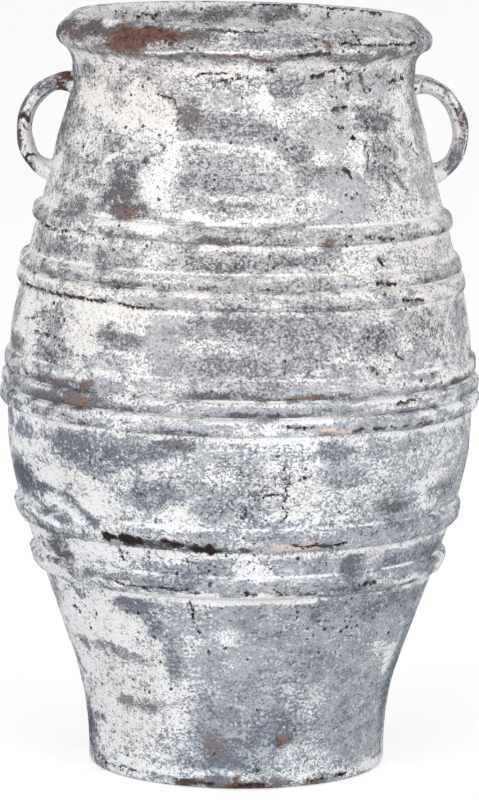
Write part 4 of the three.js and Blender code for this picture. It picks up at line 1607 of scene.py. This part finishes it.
def broken_coats(tree, given, spread):
    """How far the coats are broken, and the colour in the break. Broken: the most of the crack map with a
    ragged edge, the pits, and a net of crazing that comes and goes. A shallow crack is paler."""
    math, ramp, mix = tools(tree)
    ragged = math("MULTIPLY_ADD", spread["crack edge"], CRACK_RAG, -CRACK_RAG / 2)
    crack = ramp("crack", math("ADD", given["crack"], ragged))
    pits = math("MULTIPLY", dotted(tree, given, given["pits"], PITS_PER_METRE), PIT_STRENGTH)
    bend = tree.nodes.new("ShaderNodeTexNoise")
    bend.inputs["Scale"].default_value = CRAZE_BENDS_PER_METRE
    tree.links.new(given["Place"], bend.inputs["Vector"])
    bent_place = vector_maths(tree, "MULTIPLY_ADD", bend.outputs["Color"], [CRAZE_BEND] * 3, given["Place"])
    net = tree.nodes.new("ShaderNodeTexVoronoi")
    net.feature = "DISTANCE_TO_EDGE"
    net.inputs["Scale"].default_value = CRAZE_PER_METRE
    tree.links.new(bent_place, net.inputs["Vector"])
    gaps = math("MULTIPLY_ADD", spread["craze gaps"], CRAZE_GAPS, math("SUBTRACT", given["craze"], 1.0))
    crazing = math("MULTIPLY", ramp("craze line", net.outputs["Distance"]), ramp("craze gaps", gaps))
    crazing = math("MULTIPLY", crazing, CRAZE_STRENGTH)
    broken = math("MAXIMUM", math("MAXIMUM", crack, pits), crazing)
    shallow = ramp("shallow crack", given["crack"])
    shallow = math("MULTIPLY", ramp("shallow clouds", spread["clouds"]), shallow)
    return broken, mix(shallow, CRACK_DARK, CRACK_PALE)


print("cells for pits are", round(1 / PITS_PER_METRE / MM, 2), "mm wide")

# %% All coats together
WHITE_HEIGHT, GRAIN_HEIGHT, DUST_HEIGHT, BREAK_DEPTH = 0.35, 0.5, 0.3, 1.2


def coats_group():
    """Colour, roughness and height of the finished surface from its place and its maps. The level of the
    whitewash is its map plus grain, which is weaker in film. Height: whitewash + grain + dust - breaks."""
    inputs = {"Place": ("Vector", None)} | {key: ("Float", 0.5) for key in MAPS}
    outputs = {"Color": "Color", "Roughness": "Float", "Height": "Float"}
    group, given, gives = new_group("worn coats", inputs, outputs)
    math, ramp, mix = tools(group)
    spread = {name: noise(group, given["Place"], *settings) for name, settings in NOISES.items()}
    ground, colour = ground_coat(group, given, spread)
    grain = used(group, GRAIN, Place=given["Place"], Fine=given["fine"])["Grain"]
    grain = math("MULTIPLY", grain, ramp("grain in film", given["film"]))
    wash = math("ADD", given["wash"], grain)
    colour = white_coats(group, given, spread, wash, ground, colour)
    broken, depth_colour = broken_coats(group, given, spread)
    colour = mix(broken, colour, depth_colour)
    height = math("MULTIPLY_ADD", ramp("white", wash), WHITE_HEIGHT, math("MULTIPLY", grain, GRAIN_HEIGHT))
    height = math("ADD", height, math("MULTIPLY", spread["dust"], DUST_HEIGHT))
    height = math("SUBTRACT", height, math("MULTIPLY", broken, BREAK_DEPTH))
    group.links.new(colour, gives["Color"])
    group.links.new(ramp("roughness", wash), gives["Roughness"])
    group.links.new(height, gives["Height"])
    return group


COATS = coats_group()
print("the coats take", len(COATS.nodes), "nodes")

# %% Materials that wear the coats
RELIEF = {"wall": 0.7, "cordon": 0.7, "rim": 0.8, "handle": 0.7, "slab": 0.6}
CLAY_SHINE = 0.2


def coated_clay(name, relief):
    """Material whose maps come from the mesh and whose grain comes from Object coordinates."""
    material = bpy.data.materials.new(name)
    material.use_nodes = True
    tree = material.node_tree
    shader = tree.nodes["Principled BSDF"]
    where = tree.nodes.new("ShaderNodeTexCoord")
    coats_node = tree.nodes.new("ShaderNodeGroup")
    coats_node.node_tree = COATS
    tree.links.new(where.outputs["Object"], coats_node.inputs["Place"])
    for key in MAPS:
        attribute = tree.nodes.new("ShaderNodeAttribute")
        attribute.attribute_name = key
        tree.links.new(attribute.outputs["Fac"], coats_node.inputs[key])
    bump = tree.nodes.new("ShaderNodeBump")
    bump.inputs["Distance"].default_value = relief
    bump.inputs["Strength"].default_value = 1.0
    tree.links.new(coats_node.outputs["Height"], bump.inputs["Height"])
    tree.links.new(coats_node.outputs["Color"], shader.inputs["Base Color"])
    tree.links.new(coats_node.outputs["Roughness"], shader.inputs["Roughness"])
    tree.links.new(bump.outputs["Normal"], shader.inputs["Normal"])
    shader.inputs["Specular IOR Level"].default_value = CLAY_SHINE
    return material


finishes = {kind: coated_clay(f"{kind} coats", relief * MM) for kind, relief in RELIEF.items()}
print("finishes:", [material.name for material in finishes.values()])

# %% Turn the wall rings
for ring, bottom, top in zip(WALL_RINGS, ring_joints[:-1], ring_joints[1:]):
    settle(turned_skin(f"{ring}_skin", *ring_section(bottom, top)), ring, finishes["wall"])

# %% [markdown]
# ## The base slab
# The floor of the jar is one disc. Its lower corner has chipped and worn as the jar was walked about, which
# shows as a dark, uneven hem. The section runs from the middle of the floor inside, over the edge and back
# to the middle of the underside.

# %% Turn the slab
HEEL_WIDTH = 5.0
HEEL_HEIGHT = 7.0
HEEL_STEPS = 6
heel_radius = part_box("base_slab")[1].x / MM
disc_radius = np.array([0, 20, 45, 70, 95, 115, 128, 136, 142, 146])
disc_rows = len(disc_radius)
heel_turn = np.linspace(0, np.pi / 2, HEEL_STEPS)[::-1]
heel_round = heel_radius - HEEL_WIDTH + HEEL_WIDTH * np.sin(heel_turn)
slab_radius = np.concatenate([disc_radius, [heel_radius] * HEEL_STEPS, heel_round, disc_radius[::-1][1:]])
edge_heights = np.linspace(SLAB_TOP, HEEL_HEIGHT, HEEL_STEPS)
heel_heights = HEEL_HEIGHT * (1 - np.cos(heel_turn))
slab_height = np.concatenate([[SLAB_TOP] * disc_rows, edge_heights, heel_heights, [0] * (disc_rows - 1)])
slab_inside = (np.arange(len(slab_radius)) < disc_rows) * 1.0
slab_section = (part[:, None] for part in (slab_radius, slab_height, slab_inside))
settle(turned_skin("base_slab_skin", *slab_section, poles=True), "base_slab", finishes["slab"])

# %% [markdown]
# ## The cordons
# A cordon starts as a rolled rope, is pressed on over a joint and is run through the fingers while the jar
# turns. That leaves a rounded band with a crisp upper corner, and slight lumps where fingers rested. Its
# edges sink into the wall, so no light shows behind it.

# %% Section of a cordon
CORDON_ROWS = 26
CORDON_BACK = 6
EDGE_SUNK = 1.2
SQUARENESS = 3.4
lumps = heaped(71, 13, 30)
LUMP_SHARE = 0.36


def cordon_skin(node):
    """Across the face, t runs from -1 at the lower edge to 1 at the upper. The face stands proud by
    (1 - |t|^SQUARENESS)^(1/2) of the full amount, and the back is a flat strip sunk in the wall."""
    _, half, proud = CORDONS[node]
    t = np.linspace(-1, 1, CORDON_ROWS)[:, None]
    middle = cordon_middle(node, angles)[None, :]
    face_height = middle + half * t
    swell = proud * (1 + LUMP_SHARE * lumps(np.broadcast_to(angles, face_height.shape), face_height))
    bulge = np.sqrt(1 - np.abs(t) ** SQUARENESS)
    face_radius = wall_radius(face_height * MM) / MM - EDGE_SUNK + (swell + EDGE_SUNK) * bulge
    back = np.linspace(1, -1, CORDON_BACK)[:, None]
    back_height = middle + half * back
    back_radius = wall_radius(back_height * MM) / MM - 2 * EDGE_SUNK
    radius = np.vstack([face_radius, back_radius])
    height = np.vstack([face_height, back_height])
    return turned_skin(f"{node}_skin", radius, height, np.zeros((len(radius), 1)))


for node in CORDONS:
    settle(cordon_skin(node), node, finishes["cordon"])

# %% [markdown]
# ## The rim
# The rim is a heavy coil folded outwards: a hollow under it, a rounded edge, a sloping face up to the lip,
# and the bore. Its section follows the solid's, with the corners drawn as curves through control points.
# It leans a little to the right, as one that was lifted on wet and settled.

# %% Section of the rim
# Points of the section: millimetres outwards and upwards from the neck's joint, or from the bore's top edge.
FROM_NECK = {
    "start": (0, 0),
    "hollow": (2.75, 13.75),
    "under": (12.7, 18.75),
    "edge": (19.7, 27.5),
    "over": (12.7, 36.25),
}
FROM_BORE = {"out": (18.5, -3), "crown": (15.5, 0), "lip": (12.5, 0), "corner": (0, 0), "in": (0, -12)}
NECK_JOINT = ring_joints[-1]
neck_radius = float(wall_radius(NECK_JOINT * MM) / MM)
rim_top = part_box("rim_collar")[1].z / MM
bore = float(wall_radius((NECK_JOINT - JOINT_DROP) * MM) / MM) - WALL_THICKNESS
CURVE_STEPS = 12
LIP_STEPS = 6
BORE_STEPS = 26
SEAT_STEPS = 4


def bent(start, pull, end, steps=CURVE_STEPS):
    """Curve from start to end drawn towards a pull point: (1-t)^2 start + 2t(1-t) pull + t^2 end."""
    t = np.linspace(0, 1, steps, endpoint=False)[:, None]
    return (1 - t) ** 2 * start + 2 * t * (1 - t) * pull + t * t * end


def straight(start, end, steps=CURVE_STEPS):
    """Straight line from start to end, as a curve that is drawn towards its own middle."""
    return bent(start, (start + end) / 2, end, steps)


def rim_section():
    """The rim's loop of radius and height, from the neck up the outside, over the lip and down the bore."""
    at = {name: np.array([neck_radius + out, NECK_JOINT + up]) for name, (out, up) in FROM_NECK.items()}
    at.update({name: np.array([bore + out, rim_top + up]) for name, (out, up) in FROM_BORE.items()})
    foot = np.array([bore, NECK_JOINT - JOINT_DROP])
    pieces = [
        bent(at["start"], at["hollow"], at["under"]),
        bent(at["under"], at["edge"], at["over"]),
        straight(at["over"], at["out"]),
        bent(at["out"], at["crown"], at["lip"], LIP_STEPS),
        bent(at["lip"], at["corner"], at["in"]),
        straight(at["in"], foot, BORE_STEPS),
        straight(foot, at["start"], SEAT_STEPS),
    ]
    return np.vstack(pieces)


rim_loop = rim_section()
print("the rim's section has", len(rim_loop), "points")

# %% Turn the rim
LINING_EDGE = 6
LEAN_HEIGHTS = (2, 24)
rim_inside = (rim_loop[:, 0] < bore + LINING_EDGE) * 1.0
rim_share = step(rim_loop[:, 1], NECK_JOINT + LEAN_HEIGHTS[0], NECK_JOINT + LEAN_HEIGHTS[1])[:, None]
rim_drop = RIM_LEAN / 2 * (1 + np.sin(np.radians(angles)))[None, :]
rim_height = rim_loop[:, 1:2] - rim_share * rim_drop
rim = turned_skin("rim_collar_skin", rim_loop[:, 0:1], rim_height, rim_inside[:, None])
settle(rim, "rim_collar", finishes["rim"])

# %% [markdown]
# ## The handles
# Each handle is a pulled strap: a flat oval rope bent into an ear and smeared on at both roots. The oval is
# carried along half an ellipse that stands on the shoulder. Its size comes from the solid's box.

# %% The ear that a strap is carried along
STRAP_WIDTH = 30.0
STRAP_THICKNESS = 16.0
STRAP_STEPS = 150
ROOT_DEPTH = 10.0
TOP_BELOW_NECK = 22.0
BOTTOM_ABOVE_COLLAR = 42.0


def ear_path():
    """Half an ellipse from the upper root to the lower one: middle + cos(a) * along + sin(a) * reach, where
    along is half the way between the roots. Returns it, its heading and its share of the way to a root."""
    top_height = NECK_JOINT - TOP_BELOW_NECK
    bottom_height = ring_joints[-2] + BOTTOM_ABOVE_COLLAR
    top = np.array([wall_radius(top_height * MM) / MM, top_height])
    bottom = np.array([wall_radius(bottom_height * MM) / MM, bottom_height])
    middle, along = (top + bottom) / 2, (top - bottom) / 2
    outwards = np.array([along[1], -along[0]]) / np.hypot(*along)
    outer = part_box("right_handle")[1].x / MM
    reach = outer - STRAP_THICKNESS / 2 - middle[0]
    overrun = ROOT_DEPTH / reach
    turn = np.linspace(-overrun, np.pi + overrun, STRAP_STEPS)
    path = middle + np.cos(turn)[:, None] * along + np.sin(turn)[:, None] * reach * outwards
    heading = -np.sin(turn)[:, None] * along + np.cos(turn)[:, None] * reach * outwards
    heading /= np.linalg.norm(heading, axis=1)[:, None]
    share = np.abs(2 * turn / np.pi - 1)
    return path, heading, share


ear, ear_heading, ear_share = ear_path()
print(f"the ear runs from {ear[0, 1]:.0f} down to {ear[-1, 1]:.0f} mm and reaches {ear[:, 0].max():.0f} mm")

# %% The coats on the straps
# A place on a strap: steps out from its middle (15 is the outer edge, -15 the inner), millimetres along it
# from the upper root, and then the half width, half height and strength that a place on the wall has.
OUT_STEPS = 15.0
STRAP_RUN = 151.0
STRAP_LEVELS = {
    "wash": 0.86,
    "tone": 0.3,
    "stain": 0.35,
    "film": 0.1,
    "bare": 0.0,
    "blush": 0.0,
    "fine": 0.3,
    "pits": 0.1,
    "craze": 0.1,
    "flecks": 0.3,
    "crack": 0.0,
}
STRAP_BLOTCH = {"wash": 0.34, "bare": -0.22, "stain": -0.2}
STRAP_PLACES = {
    "left_handle_skin": {
        "wash": {
            "root": (0, 22, 20, 10, 0.6),
            "cap": (4, 38, 16, 9, 0.75),
            "cap edge": (11, 52, 5, 12, 0.6),
            "outer edge": (13, 84, 4, 32, 0.7),
            "bar": (0, 77, 18, 3.5, 1.2),
            "outer blotch": (10, 90, 6, 9, 1.0),
            "spots": (-3, 88, 4, 2.5, 0.9),
            "low bar": (0, 112, 15, 3, 1.2),
            "low blotch": (9, 123, 6, 8, 1.0),
            "inner line": (-8, 70, 1.6, 34, 0.9),
            # The strap's inner side is whitened against the shade it gets: painted light.
            "inner side painted light": (-12, 90, 4, 60, -0.6),
        },
        "stain": {
            "bar": (0, 77, 18, 3.5, 0.8),
            "outer blotch": (10, 90, 6, 9, 1.0),
            "spots": (-3, 88, 4, 2.5, 0.8),
            "low bar": (0, 112, 15, 3, 0.8),
            "low blotch": (9, 123, 6, 8, 0.6),
        },
        "bare": {
            "root": (0, 22, 20, 10, 1.5),
            "outer edge": (13, 90, 4, 28, 0.5),
            "bar": (0, 77, 18, 5, 0.3),
            "low": (8, 123, 8, 8, 0.3),
        },
        "crack": {
            "bar": (2, 77, 15, 2.6, 1.3),
            "spots": (-3, 88, 4, 2, 1.2),
            "low bar": (2, 112, 12, 2.2, 1.3),
            "low edge": (11, 118, 3, 8, 1.05),
        },
    },
    "right_handle_skin": {
        "wash": {
            "cap": (6, 40, 10, 14, 0.6),
            "inner speckle": (-9, 56, 3, 16, 0.5),
            "outer edge": (13, 74, 3, 26, 0.9),
            "slate": (0, 112, 20, 12, 0.6),
            "low speckle": (4, 121, 11, 8, 0.35),
            # The strap's inner side is whitened against the shade it gets: painted light.
            "inner side painted light": (-13, 90, 3, 44, -0.7),
            # The lower root's inner side is whitened: lime, partly a painted highlight.
            "low root lime and highlight": (-6, 136, 12, 12, -0.5),
        },
        "stain": {"outer edge": (13, 76, 4, 26, 0.6), "slate": (0, 106, 20, 13, -0.2)},
        "bare": {"root": (-6, 18, 9, 6, 0.8), "strip": (4, 79, 8, 27, 0.85)},
        "tone": {"slate": (0, 112, 20, 13, 0.3)},
        "film": {"slate": (0, 112, 20, 14, 0.6)},
    },
}
for name, strap_maps in STRAP_PLACES.items():
    print(name, "has", sum(len(patches) for patches in strap_maps.values()), "places")

# %% Carry the strap along its ear
STRAP_SIDES = 64
ROOT_SPREAD, ROOT_POWER = 0.35, 6
LUMPS = 6
LUMP_RADIANS, LUMP_START, LUMP_LEAST = 5, 6, 2
LUMP_WIDTH, LUMP_THICKNESS, LUMP_PUSH = 0.02, 0.035, 2.0
BLOTCH_SEED, BLOTCH_ACROSS, BLOTCH_UP, BLOTCH_STRETCH = 7, 10, 12, 2


def strap_maps_at(name, seed, out, down):
    """Every map on a strap: its level + its share of the blotches + its places, which wear the whitewash
    away. Bare clay takes BARE_SHARE of the whitewash off."""
    blotches = heaped(seed + BLOTCH_SEED, BLOTCH_ACROSS, BLOTCH_UP)(out * BLOTCH_STRETCH, down)
    maps = {}
    for key, level in STRAP_LEVELS.items():
        share = -WORN_SHARE if key == "wash" else 1.0
        places = laid(0.0, STRAP_PLACES[name].get(key, {}), out, down)
        maps[key] = level + STRAP_BLOTCH.get(key, 0) * blotches + share * places
    maps["wash"] = maps["wash"] - BARE_SHARE * np.clip(maps["bare"], 0, 1)
    return maps


def handle_skin(name, side, seed):
    """An oval whose long axis lies along the wall's girth and whose short axis points across the path. At
    turn a it stands cos(a) * width along the girth and sin(a) * thickness off the path. It is wider at the
    roots, its lumps are a few waves added up, and its two end rows shrink to a point."""
    spread = 1 + ROOT_SPREAD * ear_share[:, None] ** ROOT_POWER
    round_turn = np.arange(STRAP_SIDES) * 2 * np.pi / STRAP_SIDES
    waves = np.random.default_rng(seed).uniform(-1, 1, (LUMPS, 3))
    along = np.linspace(0, 1, STRAP_STEPS)[:, None]
    lump = 0
    for n, (height, start, lag) in enumerate(waves):
        run = (n + LUMP_LEAST) * LUMP_RADIANS * along + LUMP_START * start
        lump = lump + height * np.sin(run + (n % 3) * round_turn + lag)
    across = np.cos(round_turn) * (STRAP_WIDTH / 2 * spread * (1 + LUMP_WIDTH * lump))
    lift = np.sin(round_turn) * (STRAP_THICKNESS / 2 * spread * (1 + LUMP_THICKNESS * lump))
    across[[0, -1]] = lift[[0, -1]] = 0.0
    r = ear[:, :1] + ear_heading[:, 1:] * lift
    z = ear[:, 1:] - ear_heading[:, :1] * lift
    grid = np.stack([side * r, across, z], -1) * MM
    out = -OUT_STEPS * np.broadcast_to(np.sin(round_turn), z.shape)
    down = STRAP_RUN * np.broadcast_to(along, z.shape) + LUMP_PUSH * lump
    return skin(name, grid, strap_maps_at(name, seed, out, down), poles=True)


settle(handle_skin("right_handle_skin", 1, 91), "right_handle", finishes["handle"])
settle(handle_skin("left_handle_skin", -1, 97), "left_handle", finishes["handle"])

# %% [markdown]
# ## The place, the light and the camera
# The jar stands on a plain pale floor in soft, even studio light. The background is white only for the
# camera's eye and for reflections, so it adds no light. The floor adds a little glow for the camera alone,
# which keeps it white and leaves the jar's soft shadow on it.

# %% Floor
FLOOR_HALF = 40.0
FLOOR_GREY = srgb(222, 222, 222)
FLOOR_GLOW = 0.5
FLOOR_DROP = 0.3 * MM


def floor():
    """A square sheet with a diffuse coat and, for camera rays, a glow. It lies FLOOR_DROP under the jar,
    because two faces in exactly one plane would flicker."""
    mesh = bpy.data.meshes.new("floor")
    turns = ((-1, -1), (1, -1), (1, 1), (-1, 1))
    mesh.from_pydata([(x * FLOOR_HALF, y * FLOOR_HALF, -FLOOR_DROP) for x, y in turns], [], [(0, 1, 2, 3)])
    sheet = bpy.data.objects.new("floor", mesh)
    bpy.context.scene.collection.objects.link(sheet)
    material = bpy.data.materials.new("pale floor")
    material.use_nodes = True
    tree = material.node_tree
    shader = tree.nodes["Principled BSDF"]
    shader.inputs["Base Color"].default_value = FLOOR_GREY
    shader.inputs["Roughness"].default_value = 1.0
    shader.inputs["Specular IOR Level"].default_value = 0.0
    rays = tree.nodes.new("ShaderNodeLightPath")
    glow = maths(tree, "MULTIPLY", rays.outputs["Is Camera Ray"], FLOOR_GLOW)
    shader.inputs["Emission Color"].default_value = (1, 1, 1, 1)
    tree.links.new(glow, shader.inputs["Emission Strength"])
    mesh.materials.append(material)


floor()
print("the floor is", 2 * FLOOR_HALF, "m wide")

# %% World and lamps
WORLD_LIGHT = 0.62
LAMP_SIZE = 3.0
LAMP_AIM = (0, 0, 0.34)
LAMPS = {"key": ((-2.8, -3.8, 1.5), 99), "fill": ((3.2, -3.5, 1.4), 93)}
scene = bpy.context.scene
world = bpy.data.worlds.new("studio")
scene.world = world
world.use_nodes = True
sky = world.node_tree
backdrop = sky.nodes["Background"]
backdrop.inputs["Color"].default_value = (1, 1, 1, 1)
rays = sky.nodes.new("ShaderNodeLightPath")
seen = maths(sky, "ADD", rays.outputs["Is Camera Ray"], rays.outputs["Is Glossy Ray"])
seen = maths(sky, "ADD", seen, rays.outputs["Is Transmission Ray"], clamp=True)
sky.links.new(maths(sky, "MULTIPLY_ADD", seen, 1 - WORLD_LIGHT, WORLD_LIGHT), backdrop.inputs["Strength"])


def lamp(name, place, power):
    """A square area lamp that the camera doesn't see. It is tilted by the angle between straight down and the
    way to its aim, and turned by that way's compass angle."""
    light = bpy.data.lights.new(name, "AREA")
    light.size, light.energy = LAMP_SIZE, power
    holder = bpy.data.objects.new(name, light)
    scene.collection.objects.link(holder)
    holder.location = place
    x, y, z = np.array(LAMP_AIM) - np.array(place)
    holder.rotation_euler = (np.arctan2(np.hypot(x, y), -z), 0, np.arctan2(y, x) - np.pi / 2)
    holder.visible_camera = False
    print(f"{name} lamp of {power} W at {place}")


for name, (place, power) in LAMPS.items():
    lamp(name, place, power)

# %% Camera
CAMERA_PLACE = (0, -5.352, 1.1677)
CAMERA_DOWN = 8.486
CAMERA_ROLL = 0.6
CAMERA_LENS = 240.8
SENSOR_WIDTH = 36
eye = bpy.data.cameras.new("camera")
eye.lens, eye.sensor_width, eye.sensor_fit = CAMERA_LENS, SENSOR_WIDTH, "AUTO"
camera = bpy.data.objects.new("camera", eye)
scene.collection.objects.link(camera)
camera.rotation_mode = "XYZ"
tilt = Matrix.Rotation(np.radians(90 - CAMERA_DOWN), 4, "X")
roll = Matrix.Rotation(np.radians(CAMERA_ROLL), 4, "Z")
camera.matrix_world = Matrix.Translation(CAMERA_PLACE) @ tilt @ roll
scene.camera = camera
scene.view_settings.view_transform = "Standard"
print("the camera looks down by", CAMERA_DOWN, "degrees through a lens of", CAMERA_LENS, "mm")

# %% Bring the scene up to date
bpy.context.view_layer.update()
